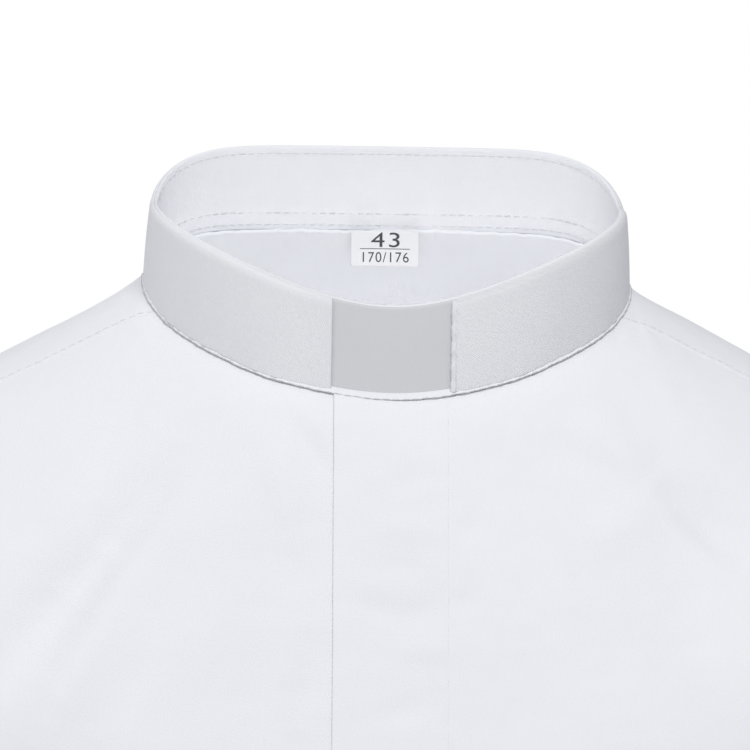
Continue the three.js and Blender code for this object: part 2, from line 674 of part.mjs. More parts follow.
function fromSolid(solid) {
  const mesh = solid.getMesh();
  return new THREE.BufferGeometry()
    .setAttribute("position", new THREE.BufferAttribute(new Float32Array(mesh.vertProperties), 3))
    .setIndex(new THREE.BufferAttribute(new Uint32Array(mesh.triVerts), 1));
}
// A button with its back on a point, facing along a direction.
function seatedButton(radius, point, facing, lift) {
  const place = new THREE.Matrix4().makeRotationFromQuaternion(
    new THREE.Quaternion().setFromUnitVectors(V(0, 0, 1), facing),
  );
  place.setPosition(point.clone().addScaledVector(facing, lift));
  return buttonGeometry(radius).applyMatrix4(place);
}
function cuffButton() {
  const share = 1 - CUFF_LAP / 2 / cuffGirth / (CUFF_TURN / 2 / Math.PI);
  const turn = CUFF_START - CUFF_TURN * share;
  const at = (extra) => cuffPlace(turn, 0.5, cuffLift(share) + extra);
  return seatedButton(CUFF_BUTTON, at(0), at(1).sub(at(0)).normalize(), ON_TOP_GAP);
}
function slitButton() {
  const { point, normal } = slitPlace(0, 0.42);
  return seatedButton(SLIT_BUTTON, point, normal, 2 * ON_TOP_GAP + 0.5 + CLOTH);
}

// Materials.
const poplin = new THREE.MeshStandardMaterial({ color: 0xe9ebef, roughness: 0.85, metalness: 0 });
const collarCloth = new THREE.MeshStandardMaterial({ color: 0xe4e6ea, roughness: 0.7, metalness: 0 });
const tabPlastic = new THREE.MeshStandardMaterial({ color: 0xe0e1e5, roughness: 0.5, metalness: 0 });
const tagSatin = new THREE.MeshStandardMaterial({ color: 0xf0f1f4, roughness: 0.5, metalness: 0 });
const buttonShell = new THREE.MeshStandardMaterial({ color: 0xf1f0ec, roughness: 0.3, metalness: 0 });

// Turns a left-hand piece into its right-hand twin, with its faces still pointing out.
function mirrored(geometry) {
  const flat = geometry.index ? geometry.toNonIndexed() : geometry.clone();
  const numbers = flat.attributes.position.array;
  for (let i = 0; i < numbers.length; i += 9) {
    for (let k = 0; k < 9; k += 3) numbers[i + k] *= -1;
    for (let k = 0; k < 3; k += 1) {
      [numbers[i + 3 + k], numbers[i + 6 + k]] = [numbers[i + 6 + k], numbers[i + 3 + k]];
    }
  }
  return flat;
}

const shirt = new THREE.Group();
shirt.name = "clergy_shirt";
function add(name, geometry, material) {
  const mesh = new THREE.Mesh(geometry, material);
  mesh.name = name;
  shirt.add(mesh);
}
add("front_left", frontPanel(1, FRONT_LAP_X), poplin);
add("front_right", frontPanel(-1, -FRONT_LAP_X), poplin);
add("back", backPanel(), poplin);
add("yoke", yokePanel(), poplin);
add("placket", placketStrip(), poplin);
add("collar_stand", collarStand(), collarCloth);
add("collar_fall", collarFall(), collarCloth);
add("collar_tab", collarTab(), tabPlastic);
add("size_tag", sizeTag(), tagSatin);
const armPieces = [
  ["sleeve", sleeveTube, poplin],
  ["cuff", cuffBand, poplin],
  ["sleeve_slit", slitStrip, poplin],
  ["cuff_button", cuffButton, buttonShell],
  ["slit_button", slitButton, buttonShell],
];
for (const [name, build, material] of armPieces) {
  const geometry = build();
  add(name + "_left", geometry, material);
  add(name + "_right", mirrored(geometry), material);
}

export default shirt;
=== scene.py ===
# %% [markdown]
# # A clergy shirt, dressed around its solids
# The solids of the shirt are thin plain walls. Here each one is replaced by cloth of the same form, made of
# many more points, with its creases, turned edges, stitches, weave and buttons. The tables give sizes in
# millimetres, and the meshes are made in metres in the solids' own frame: +Z is up, the front faces -Y, and
# +X is the wearer's left.

# %% Load the solids
import math

import bpy
import numpy as np
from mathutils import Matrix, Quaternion, Vector
from mathutils.bvhtree import BVHTree


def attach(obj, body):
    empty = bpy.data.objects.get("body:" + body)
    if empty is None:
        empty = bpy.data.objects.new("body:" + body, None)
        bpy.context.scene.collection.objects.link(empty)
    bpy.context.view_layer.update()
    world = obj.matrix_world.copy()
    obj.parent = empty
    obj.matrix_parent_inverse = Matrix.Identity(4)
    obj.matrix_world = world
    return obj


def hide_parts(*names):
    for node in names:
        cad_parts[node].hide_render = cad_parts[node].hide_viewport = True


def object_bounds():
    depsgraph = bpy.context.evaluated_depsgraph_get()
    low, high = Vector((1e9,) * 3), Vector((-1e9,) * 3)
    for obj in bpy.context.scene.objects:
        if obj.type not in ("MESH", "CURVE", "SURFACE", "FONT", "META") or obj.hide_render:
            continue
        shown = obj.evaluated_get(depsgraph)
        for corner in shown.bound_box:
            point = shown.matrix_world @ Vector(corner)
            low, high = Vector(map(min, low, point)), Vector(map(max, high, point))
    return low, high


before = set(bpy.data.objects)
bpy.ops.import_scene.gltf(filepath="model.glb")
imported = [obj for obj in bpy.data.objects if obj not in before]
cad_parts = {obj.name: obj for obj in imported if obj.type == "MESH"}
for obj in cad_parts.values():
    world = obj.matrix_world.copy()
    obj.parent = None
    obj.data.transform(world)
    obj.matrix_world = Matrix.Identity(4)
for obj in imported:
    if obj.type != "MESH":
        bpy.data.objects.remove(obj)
solids_box = [list(corner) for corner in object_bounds()]
MM = 0.001
print("solids from", solids_box[0], "to", solids_box[1])

# %% [markdown]
# ## The camera
# The picture is a close view of the collar from a little above, taken with a long lens, so that front and
# back of the collar hardly differ in scale. The camera stands at given angles and a given distance from the
# middle of the neck, and is then aimed so that this point falls where the picture has it. A small roll leans
# the shirt as it leans there.

# %% Place the camera
PICTURE = 750
PIXELS_PER_MM = 3.3
NECK_PIXEL = (386.0, 278.6)
CAMERA_AZIMUTH = math.radians(-1.7)
CAMERA_HEIGHT = math.radians(4.0)
CAMERA_ROLL = math.radians(0.9)
CAMERA_DISTANCE = 1.9

scene = bpy.context.scene
outward = Vector((
    math.sin(CAMERA_AZIMUTH) * math.cos(CAMERA_HEIGHT),
    -math.cos(CAMERA_AZIMUTH) * math.cos(CAMERA_HEIGHT),
    math.sin(CAMERA_HEIGHT),
))
to_right = Vector((0, 0, 1)).cross(outward).normalized()
to_top = outward.cross(to_right)
right_by = (PICTURE / 2 - NECK_PIXEL[0]) / PIXELS_PER_MM * MM
up_by = (NECK_PIXEL[1] - PICTURE / 2) / PIXELS_PER_MM * MM
lens = bpy.data.cameras.new("close_view")
lens.sensor_width = 36
lens.lens = lens.sensor_width * CAMERA_DISTANCE / (PICTURE / PIXELS_PER_MM * MM)
camera = bpy.data.objects.new("close_view", lens)
scene.collection.objects.link(camera)
camera.location = outward * CAMERA_DISTANCE
camera.rotation_mode = "QUATERNION"
look = (to_right * right_by + to_top * up_by - camera.location).to_track_quat("-Z", "Y")
camera.rotation_quaternion = Quaternion(outward, CAMERA_ROLL) @ look
scene.camera = camera
print("lens", round(lens.lens, 1), "mm")

# %% [markdown]
# ## Light, sky and floor
# White cloth on white is drawn by soft light alone. A sky that is white to the camera but dimmer as a light
# keeps the background clean, a large lamp high in front lights what faces up more than what faces forward,
# and two weaker ones fill from the left, before and behind. Light that shines through the thin cloth makes
# its inside as bright as its outside, and two small lamps inside stand for it. The floor is a pale sheet
# under the hem.

# %% Light, sky and floor
SKY_LIGHT = 0.5
FLOOR_GAP = 0.035


def add_node(tree, kind, inputs=(), **settings):
    """A node of that kind, with its settings, and its inputs set to values or linked to sockets."""
    made = tree.nodes.new(kind)
    for name, value in settings.items():
        setattr(made, name, value)
    for socket, value in dict(inputs).items():
        if isinstance(value, bpy.types.NodeSocket):
            tree.links.new(value, made.inputs[socket])
        else:
            made.inputs[socket].default_value = value
    return made


def add_lamp(name, place, towards, size, power, colour):
    """A soft lamp of a given width and height, turned towards a point and not seen itself."""
    lamp = bpy.data.lights.new(name, "AREA")
    lamp.shape = "RECTANGLE"
    lamp.size, lamp.size_y = size
    lamp.energy = power
    lamp.color = colour
    stand = bpy.data.objects.new(name, lamp)
    stand.location = place
    stand.rotation_mode = "QUATERNION"
    stand.rotation_quaternion = (Vector(towards) - stand.location).to_track_quat("-Z", "Y")
    stand.visible_camera = False
    scene.collection.objects.link(stand)


world = bpy.data.worlds.new("white_sky")
world.use_nodes = True
sky = world.node_tree
sky.nodes.clear()
seen = add_node(sky, "ShaderNodeBackground", {"Color": (1, 1, 1, 1), "Strength": 1.0})
lit = add_node(sky, "ShaderNodeBackground", {"Color": (0.97, 0.98, 1, 1), "Strength": SKY_LIGHT})
ray = add_node(sky, "ShaderNodeLightPath")
choice = {0: ray.outputs["Is Camera Ray"], 1: lit.outputs[0], 2: seen.outputs[0]}
mix = add_node(sky, "ShaderNodeMixShader", choice)
add_node(sky, "ShaderNodeOutputWorld", {"Surface": mix.outputs[0]})
scene.world = world
scene.view_settings.view_transform = "Standard"

COLLAR = (0, 0, -0.1)
THROUGH_CLOTH = (1.0, 0.985, 0.965)
add_lamp("high_front", (0.1, -1.5, 1.75), COLLAR, (0.8, 0.8), 28, (1.0, 0.995, 0.985))
add_lamp("low_left", (-1.9, -1.5, 0.2), COLLAR, (0.7, 0.7), 3.4, (1.0, 0.99, 0.98))
add_lamp("side_back", (-1.9, 1.1, 0.5), COLLAR, (0.5, 0.5), 6, (1.0, 1.0, 1.0))
add_lamp("through_the_collar", (0, -0.045, -0.03), (0, 0.045, 0.015), (0.06, 0.03), 0.014, THROUGH_CLOTH)
add_lamp("through_the_body", (0, -0.02, -0.3), (0, 0.05, -0.05), (0.15, 0.15), 0.33, THROUGH_CLOTH)

floor_mesh = bpy.data.meshes.new("floor")
reach, level = 6.0, solids_box[0][2] - FLOOR_GAP
corners = [(x * reach, y * reach, level) for x, y in ((-1, -1), (1, -1), (1, 1), (-1, 1))]
floor_mesh.from_pydata(corners, [], [(0, 1, 2, 3)])
floor = bpy.data.objects.new("floor", floor_mesh)
scene.collection.objects.link(floor)
paint = bpy.data.materials.new("pale_floor")
paint.use_nodes = True
paint_shader = paint.node_tree.nodes["Principled BSDF"]
paint_shader.inputs["Base Color"].default_value = (0.86, 0.86, 0.86, 1)
paint_shader.inputs["Roughness"].default_value = 0.9
floor_mesh.materials.append(paint)
print("floor at", round(level, 3))

# %% [markdown]
# ## The body's form
# A filled shirt can be described by rings: one closed curve at the neckline, others over the shoulders and
# down to the hem. A point of the cloth then has two numbers, an angle round the body and a row, which may
# lie between two rings. These are the same tables as the solids', so the cloth lies where they do.

# %% Rings of the body and the collar's rim
BODY_COLUMNS = "half front back shift square z_front z_side z_back dip rise".split()
BODY_ROWS = [
    [71, 66, 42, 0, 2.6, -28.5, 0, 12, 1.6, 18],
    [85, 77, 56, 0, 2.4, -41, -8, -2, 1.75, 4],
    [129, 96, 78, 0, 2.3, -83, -32, -22, 1.9, 3],
    [171, 112, 94, 0, 2.3, -122, -54, -60, 2, 2.2],
    [212, 124, 104, -2, 2.35, -162, -77, -102, 2, 2],
    [219, 130, 110, -5, 2.4, -206, -152, -168, 2, 2],
    [222, 133, 112, -8, 2.4, -250, -246, -248, 2, 2],
    [210, 129, 107, -8, 2.35, -345, -345, -345, 2, 2],
    [202, 125, 102, -8, 2.3, -448, -442, -448, 2, 2],
    [207, 122, 107, -8, 2.3, -556, -538, -560, 2, 2],
    [215, 122, 112, -8, 2.3, -650, -610, -662, 1.6, 2.6],
    [221, 123, 115, -8, 2.3, -742, -668, -762, 1.3, 3.2],
]
RIM_ROW = [69.4, 61.1, 38.1, -5.6, 2.9, -3.5, 22.6, 37.8, 2.5, 16]
TIP_ROW, ARMPIT_ROW, HEM_ROW = 4, 6, 11


def columns_of(names, rows):
    """A table as one array of numbers for each named column."""
    return {name: np.array(column, float) for name, column in zip(names, zip(*rows))}


def smooth_value(values, at):
    """Values at fractional rows, on a smooth curve through the rows."""
    at = np.asarray(at, float)
    k = np.clip(np.floor(at).astype(int), 0, len(values) - 2)
    f = at - k
    a, b, c, d = (values[np.clip(k + i, 0, len(values) - 1)] for i in (-1, 0, 1, 2))
    rise, fall = (c - a) / 2, (d - b) / 2
    return b + f * rise + f**2 * (3 * (c - b) - 2 * rise - fall) + f**3 * (2 * (b - c) + rise + fall)


def ring_points(ring, angle):
    """Points of a ring at angles round the body."""
    s, c = np.sin(angle), np.cos(angle)
    depth = np.where(c > 0, ring["front"], ring["back"])
    reach = np.abs(s / ring["half"]) ** ring["square"] + np.abs(c / depth) ** ring["square"]
    r = reach ** (-1 / ring["square"])
    in_front = ring["z_side"] + (ring["z_front"] - ring["z_side"]) * np.abs(c) ** ring["dip"]
    behind = ring["z_side"] + (ring["z_back"] - ring["z_side"]) * (1 - np.abs(s) ** ring["rise"])
    return np.stack([r * s, ring["shift"] - r * c, np.where(c > 0, in_front, behind)], axis=-1)


BODY = columns_of(BODY_COLUMNS, BODY_ROWS)
RIM = {name: values[0] for name, values in columns_of(BODY_COLUMNS, [RIM_ROW]).items()}


def plain_body(angle, row):
    """Points of the body without folds."""
    angle, row = np.broadcast_arrays(np.asarray(angle, float), np.asarray(row, float))
    return ring_points({name: smooth_value(values, row) for name, values in BODY.items()}, angle)


def unit(vectors):
    """Vectors of length one."""
    return vectors / np.maximum(np.linalg.norm(vectors, axis=-1, keepdims=True), 1e-9)


def normals_by_steps(surface, a, b):
    """Outward normals of a surface, from small steps along its two numbers."""
    step = 1e-3
    b = np.maximum(b, step)
    across = surface(a + step, b) - surface(a - step, b)
    down = surface(a, b + step) - surface(a, b - step)
    return unit(np.cross(down, across))


print("body rings:", len(BODY_ROWS))

# %% [markdown]
# ## Folds and creases
# Cloth that hangs over a form has a few broad folds and many small creases, each with its own length, depth
# and direction. Each one here is a chain of points on the body, and the cloth moves out or in near it and
# fades away from it. Broad folds are round in section. Small creases have a sharp crest, which an
# exponential falling off on both sides gives.

# %% Place the folds and creases
BROAD_FOLDS = [
    # angle and row at one end, angle and row at the other, width, height
    [66, 5.3, 22, 4.4, 26, -3.6],
    [-66, 5.3, -20, 4.5, 26, -4.2],
    [72, 6.0, 38, 5.5, 25, 3.2],
    [-72, 6.0, -36, 5.6, 25, 2.8],
    [78, 6.5, 42, 7.2, 27, -3.4],
    [-78, 6.5, -46, 7.1, 27, -4.0],
    [60, 7.6, 50, 10.9, 30, 5.0],
    [-57, 7.5, -50, 10.9, 30, 5.5],
    [33, 8.2, 29, 10.9, 27, -3.6],
    [-33, 8.4, -27, 10.9, 27, -3.8],
    [114, 5.5, 152, 4.7, 26, -3.6],
    [-114, 5.5, -150, 4.8, 26, -4.0],
    [118, 7.4, 128, 10.9, 32, 5.5],
    [-120, 7.4, -130, 10.9, 32, 5.2],
    [150, 7.2, 152, 10.9, 30, -4.4],
    [-152, 7.3, -156, 10.9, 30, -4.6],
    [176, 6.6, 182, 10.9, 28, 4.0],
]
SOFT_FOLDS = [
    # the long fold from the wearer's right armhole up to the chest, with its ridge and a second hollow
    [-39.5, 1.45, -44.5, 2.9, 9, -3.0],
    [-43, 2.4, -47.5, 4.2, 12, -5.6],
    [-38, 2.0, -40.5, 3.0, 6, 1.3],
    [-39.5, 2.7, -41, 4.0, 7, 2.0],
    [-31.5, 2.1, -35.5, 3.8, 6, -0.8],
    # between that fold and the placket
    [-22, 1.0, -12, 1.35, 4, -1.2],
    [-24, 1.25, -17, 1.75, 5, 0.9],
    [-34, 1.25, -30, 2.4, 7, -0.7],
    [-11, 2.35, -14, 3.1, 6, -1.2],
    [-13, 2.4, -16, 3.3, 6, 0.6],
    # from the wearer's left armhole
    [31, 1.2, 44, 1.9, 6, -1.6],
    [32, 2.0, 43, 2.08, 7, 1.5],
    [44.5, 1.85, 52, 2.75, 10, -3.4],
    [42, 1.35, 47, 2.9, 6, 1.3],
    [31, 1.9, 33.5, 3.4, 6, -0.8],
    [26.5, 1.8, 27.5, 2.7, 5, 0.5],
    [41.5, 2.3, 45, 3.5, 8, -0.9],
    [42, 2.75, 46, 3.2, 6, 0.6],
    # inside the back of the neck
    [158, 0.15, 150, 1.3, 5, 0.8],
    [170, 0.3, 166, 1.6, 5, -0.7],
    [188, 0.6, 206, 0.35, 4, 0.6],
    [196, 1.3, 216, 0.9, 5, -0.8],
    [210, 0.15, 222, 1.2, 5, 0.8],
    [140, 0.9, 162, 1.8, 6, -0.8],
    # down the placket and beside its sewn edge
    [0, 1.35, 10, 1.32, 4, -0.6],
    [4, 1.52, 10, 1.47, 3, -0.4],
    [-3, 1.58, 8, 1.68, 4, 0.6],
    [-3, 1.88, 5, 1.85, 2.2, -0.4],
    [-5, 2.08, 1, 2.2, 4.5, -0.9],
    [0, 2.2, 8, 2.14, 4, -0.7],
    [1, 2.4, 9, 2.46, 4, 0.6],
    [-2, 2.9, 6, 2.83, 4.5, -0.8],
    [11, 2.08, 14, 2.22, 4, -0.7],
    [15, 1.6, 14, 1.77, 4, -0.5],
    [4, 4.4, -3, 4.6, 7, 0.4],
    [-4, 6.4, 4, 6.5, 7, -0.4],
    [4, 8.2, -4, 8.4, 7, 0.4],
    [-4, 9.6, 4, 9.7, 7, -0.4],
]
SMALL_CREASES = [
    # beside the collar
    [-77, 0.6, -59, 0.8, 3.0, 0.5],
    [-62, 0.2, -57, 0.7, 2.6, -0.4],
    [74, 0.5, 61, 0.95, 2.6, -0.5],
    [72, 0.68, 62, 1.1, 2.6, 0.5],
    [64, 0.4, 55, 0.72, 2.4, -0.4],
    [51, 0.95, 67, 1.55, 2.4, -0.4],
    [44, 1.1, 53, 1.5, 2.4, -0.4],
    # fine creases on the chest
    [-20, 1.85, -11, 2.1, 2.0, -0.3],
    [-76, 1.8, -66, 1.65, 2.2, -0.4],
    [-66, 2.0, -57, 1.7, 2.2, -0.25],
    [-55, 2.68, -52, 2.25, 2.4, -0.3],
    [-53, 1.73, -47, 1.45, 2.4, -0.25],
    # from the armholes across the chest
    [78, 5.2, 50, 4.7, 6, 3.8],
    [-77, 5.3, -52, 4.6, 6, 3.4],
    [80, 5.6, 44, 5.2, 6, -4],
    [-80, 5.6, -40, 5.3, 7, -3.8],
    [83, 5.85, 56, 5.8, 5, 4.6],
    [-83, 5.9, -52, 5.8, 5, 4.2],
    [84, 6.1, 58, 6.5, 6, -4],
    [-85, 6.1, -62, 6.6, 6, -3.4],
    [88, 6.3, 66, 7.0, 6, 4],
    [-88, 6.3, -70, 6.9, 6, 4.2],
    [22, 5.4, 16, 6.6, 8, 1.9],
    [-24, 5.6, -15, 6.9, 8, 1.9],
    # waist and below, in front
    [84, 7.4, 58, 7.9, 7, 4.6],
    [-86, 7.5, -60, 8.1, 7, 4.2],
    [78, 8.1, 46, 8.3, 7, -4],
    [-76, 8.2, -40, 8.5, 7, -4.2],
    [52, 8.6, 26, 9.3, 8, 3.4],
    [-48, 8.8, -24, 9.4, 8, 3.2],
    [70, 9.0, 64, 10.8, 9, 5.1],
    [-72, 9.1, -68, 10.8, 9, 4.6],
    [40, 9.4, 38, 10.9, 8, 3.4],
    [-40, 9.5, -38, 10.9, 8, -3.8],
    [17, 8.2, 19, 10.4, 7, 2.3],
    # back
    [100, 5.4, 134, 4.9, 6, 4],
    [-100, 5.5, -136, 5.0, 6, 3.8],
    [98, 5.8, 140, 5.6, 7, -4.2],
    [-98, 5.9, -138, 5.7, 7, -4],
    [97, 6.2, 128, 6.8, 6, 4],
    [-97, 6.1, -126, 6.9, 6, 3.8],
    [150, 4.2, 156, 6.2, 9, 3.8],
    [-152, 4.2, -158, 6.0, 9, 4],
    [178, 3.9, 181, 5.4, 8, 0.9],
    [160, 7.7, 196, 7.9, 8, 5.3],
    [148, 8.1, 178, 8.4, 8, -4.6],
    [184, 8.2, 214, 8.0, 7, 4.6],
    [112, 7.6, 138, 8.2, 8, 4.8],
    [-112, 7.7, -140, 8.1, 8, 4.6],
    [166, 8.8, 168, 10.8, 10, 5.1],
    [-168, 8.9, -172, 10.8, 10, -5.1],
    [136, 8.8, 140, 10.8, 10, 4.6],
    [-136, 8.9, -141, 10.8, 10, 4.8],
    # under the arms
    [92, 6.6, 96, 8.4, 8, 4.6],
    [-92, 6.7, -95, 8.2, 8, 4.2],
    [84, 8.6, 86, 10.6, 9, -4.2],
    [-84, 8.7, -87, 10.6, 9, -4.6],
]
LINKS = 6


def chain_distance(points, chain):
    """Distance of points from a chain, and how far along it they are, from 0 to 1."""
    best = np.full(points.shape[:-1], 1e9)
    along = np.zeros(points.shape[:-1])
    for i in range(len(chain) - 1):
        step = chain[i + 1] - chain[i]
        share = np.clip(((points - chain[i]) @ step) / (step @ step), 0, 1)
        distance = np.linalg.norm(points - chain[i] - share[..., None] * step, axis=-1)
        closer = distance < best
        best = np.where(closer, distance, best)
        along = np.where(closer, (i + share) / (len(chain) - 1), along)
    return best, along


def chains_on(surface, rows):
    """Each row of a table of folds with its chain of points on a surface."""
    chains = []
    for angle_a, row_a, angle_b, row_b, width, height in rows:
        share = np.linspace(0, 1, LINKS + 1)
        angle = np.radians(angle_a + (angle_b - angle_a) * share)
        chains.append((surface(angle, row_a + (row_b - row_a) * share), width, height))
    return chains


def fold_height(points, chains, sharp):
    """How far out the folds move points, in millimetres."""
    total = np.zeros(points.shape[:-1])
    for chain, width, height in chains:
        reach = (9 if sharp else 3.2) * width
        low, high = chain.min(axis=0) - reach, chain.max(axis=0) + reach
        near = np.all((points > low) & (points < high), axis=-1)
        if not near.any():
            continue
        distance, along = chain_distance(points[near], chain)
        across = distance / width
        if sharp:
            profile = np.exp(0.4 - np.sqrt(across**2 + 0.16))
        else:
            profile = np.exp(-(across**2))
        total[near] += height * profile * np.sin(math.pi * (0.1 + 0.8 * along)) ** (1.6 if sharp else 1)
    return total


broad_chains = chains_on(plain_body, BROAD_FOLDS)
soft_chains = chains_on(plain_body, SOFT_FOLDS)
small_chains = chains_on(plain_body, SMALL_CREASES)


def body_points(angle, row):
    """Points of the body with its broad folds."""
    points = plain_body(angle, row)
    height = fold_height(points, broad_chains, sharp=False)
    return points + normals_by_steps(plain_body, angle, row) * height[..., None]


def rumple(points, seed, longest, shortest, waves=22):
    """A soft uneven height between about -1 and 1, from waves of many directions and lengths."""
    dice = np.random.default_rng(seed)
    total = np.zeros(points.shape[:-1])
    for _ in range(waves):
        length = math.exp(dice.uniform(math.log(shortest), math.log(longest)))
        direction = unit(dice.normal(size=3)) * 2 * math.pi / length
        total += np.sin(points @ direction + dice.uniform(0, 2 * math.pi)) * (length / longest) ** 0.5
    return total / math.sqrt(waves)


print("broad folds:", len(broad_chains), "soft:", len(soft_chains), "small creases:", len(small_chains))

# %% [markdown]
# ## From a grid of points to a piece of cloth
# Every panel is a grid of points. A second grid a little further in makes it a closed thin shell, and a row
# of points between the two layers rounds its edges as turned cloth is rounded. The lengths along the grid's
# lines become the UV map in metres, so a weave drawn on it keeps its size.

# %% Helpers for cloth
BODY_CLOTH = 0.8
pieces = {}


def grid_normals(points, around=False):
    """Normals of a grid of points whose rows go down and columns across, towards larger angles."""
    if around:
        across = (np.roll(points, -1, axis=1) - np.roll(points, 1, axis=1)) / 2
    else:
        across = np.gradient(points, axis=1)
    return unit(np.cross(np.gradient(points, axis=0), across))


def lengths_along(points, axis):
    """Lengths from the first point along a grid's lines."""
    steps = np.linalg.norm(np.diff(points, axis=axis), axis=-1)
    start = np.zeros_like(np.take(steps, [0], axis=axis))
    return np.concatenate([start, np.cumsum(steps, axis=axis)], axis=axis)


def end_faces(outer, between, inner, top, bottom):
    """Faces that close one end of a shell, at its first column."""
    faces = [(inner[0], between[0], outer[0], top), (outer[-1], between[-1], inner[-1], bottom)]
    for j in range(len(outer) - 1):
        faces.append((outer[j], between[j], between[j + 1], outer[j + 1]))
        faces.append((between[j], inner[j], inner[j + 1], between[j + 1]))
    return faces


def make_cloth(name, outer, inner, material, around=False, rounding=(1, 1, 1, 1), slot="shirt_cloth",
               replaces=()):
    """A closed shell between two grids. rounding is how round its top, bottom, left and right edges are."""
    rows, columns = outer.shape[:2]
    middle = (outer + inner) / 2
    half = np.linalg.norm(outer - inner, axis=-1, keepdims=True) / 2
    top, bottom, left, right = rounding
    lists = [
        outer.reshape(-1, 3),
        inner.reshape(-1, 3),
        middle[0] + unit(middle[0] - middle[1]) * half[0] * top,
        middle[-1] + unit(middle[-1] - middle[-2]) * half[-1] * bottom,
        middle[:, 0] + unit(middle[:, 0] - middle[:, 1]) * half[:, 0] * left,
        middle[:, -1] + unit(middle[:, -1] - middle[:, -2]) * half[:, -1] * right,
    ]
    if around:
        lists = lists[:4]
    starts = np.cumsum([0] + [len(points) for points in lists])
    numbers = [np.arange(a, b) for a, b in zip(starts, starts[1:])]
    outside, inside = numbers[0].reshape(rows, columns), numbers[1].reshape(rows, columns)
    loop = np.vstack([outside, numbers[3][None], inside[::-1], numbers[2][None]])
    row_of = np.concatenate([np.arange(rows), [rows - 1], np.arange(rows)[::-1], [0]])
    below, row_below = np.roll(loop, -1, axis=0), np.roll(row_of, -1)
    if around:
        next_loop, next_below = np.roll(loop, -1, axis=1), np.roll(below, -1, axis=1)
        closed = np.concatenate([outer, outer[:, :1]], axis=1)
    else:
        loop, next_loop = loop[:, :-1], loop[:, 1:]
        below, next_below = below[:, :-1], below[:, 1:]
        closed = outer
    spans = loop.shape[1]
    faces = np.stack([loop, below, next_below, next_loop], axis=-1).reshape(-1, 4)
    u = lengths_along(closed, 1)
    u = u - u[:, [closed.shape[1] // 2]]
    v = lengths_along(closed, 0)
    across = np.arange(spans)
    corner_rows = [row_of, row_below, row_below, row_of]
    corner_columns = [across, across, across + 1, across + 1]
    corners = []
    for r, c in zip(corner_rows, corner_columns):
        corners.append(np.stack([u[np.ix_(r, c)], -v[np.ix_(r, c)]], axis=-1))
    uv = np.stack(corners, axis=2).reshape(-1, 2)
    if not around:
        ends = end_faces(outside[:, 0], numbers[4], inside[:, 0], numbers[2][0], numbers[3][0])
        other = end_faces(outside[:, -1], numbers[5], inside[:, -1], numbers[2][-1], numbers[3][-1])
        ends += [face[::-1] for face in other]
        faces = np.vstack([faces, np.array(ends)])
        uv = np.vstack([uv, np.zeros((4 * len(ends), 2))])
    mesh = bpy.data.meshes.new(name)
    mesh.from_pydata((np.vstack(lists) * MM).tolist(), [], faces.tolist())
    mesh.uv_layers.new(name="cloth").uv.foreach_set("vector", (uv * MM).ravel())
    mesh.shade_smooth()
    mesh.materials.append(material)
    return put_piece(name, mesh, replaces)


def put_piece(name, mesh, replaces=()):
    """Puts a mesh into the scene as a piece of the shirt."""
    piece = bpy.data.objects.new(name, mesh)
    scene.collection.objects.link(piece)
    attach(piece, "root")
    if replaces:
        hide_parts(*replaces)
    pieces[name] = piece
    return piece


def smooth_step(x):
    """0 below 0, 1 above 1 and smooth between."""
    x = np.clip(x, 0, 1)
    return x * x * (3 - 2 * x)


def turned_edge(distance, width, height):
    """The low step of a turned and stitched edge, by distance from the edge."""
    return height * (1 - smooth_step((distance - width) / 1.6 + 0.5))


def puckers(distance, along, reach, pitch, height, seed):
    """Small uneven waves that a row of stitches draws into the cloth beside it."""
    dice = np.random.default_rng(seed)
    waves = np.zeros_like(along)
    for factor in (0.62, 1.0, 1.37):
        waves += np.sin(along * 2 * math.pi / (pitch * factor) + dice.uniform(0, 6.28))
    return height * waves / 2 * np.exp(-distance / reach)


# %% [markdown]
# ## Weaves and finishes
# Poplin is a fine plain weave, and the collar's cloth a fine twill fused to a stiff layer. At this scale a
# thread is less than a pixel, so the weave is seen as a faint grain with thicker threads here and there.
# Each effect is a node group with named inputs and outputs: it gives a height for the bump and a shade for
# the colour, and each material places it with its own numbers.

# %% Node groups for weave, twill and mottle
def new_group(name, inputs, outputs):
    """An empty shader node group with named sockets."""
    group = bpy.data.node_groups.new(name, "ShaderNodeTree")
    for socket, kind, value in inputs:
        made = group.interface.new_socket(socket, in_out="INPUT", socket_type=kind)
        if value is not None:
            made.default_value = value
    for socket, kind in outputs:
        group.interface.new_socket(socket, in_out="OUTPUT", socket_type=kind)
    return group, group.nodes.new("NodeGroupInput"), group.nodes.new("NodeGroupOutput")


def math_node(tree, operation, a, b=0.0):
    """The result of a sum on one or two sockets or numbers."""
    return add_node(tree, "ShaderNodeMath", {0: a, 1: b}, operation=operation).outputs[0]


def stretched_noise(tree, vector, scale, detail=2.0):
    """A noise that is stretched by a different scale along each axis."""
    scaled = add_node(tree, "ShaderNodeVectorMath", {0: vector, 1: scale}, operation="MULTIPLY")
    noise = {"Vector": scaled.outputs[0], "Scale": 1.0, "Detail": detail}
    return add_node(tree, "ShaderNodeTexNoise", noise).outputs[0]


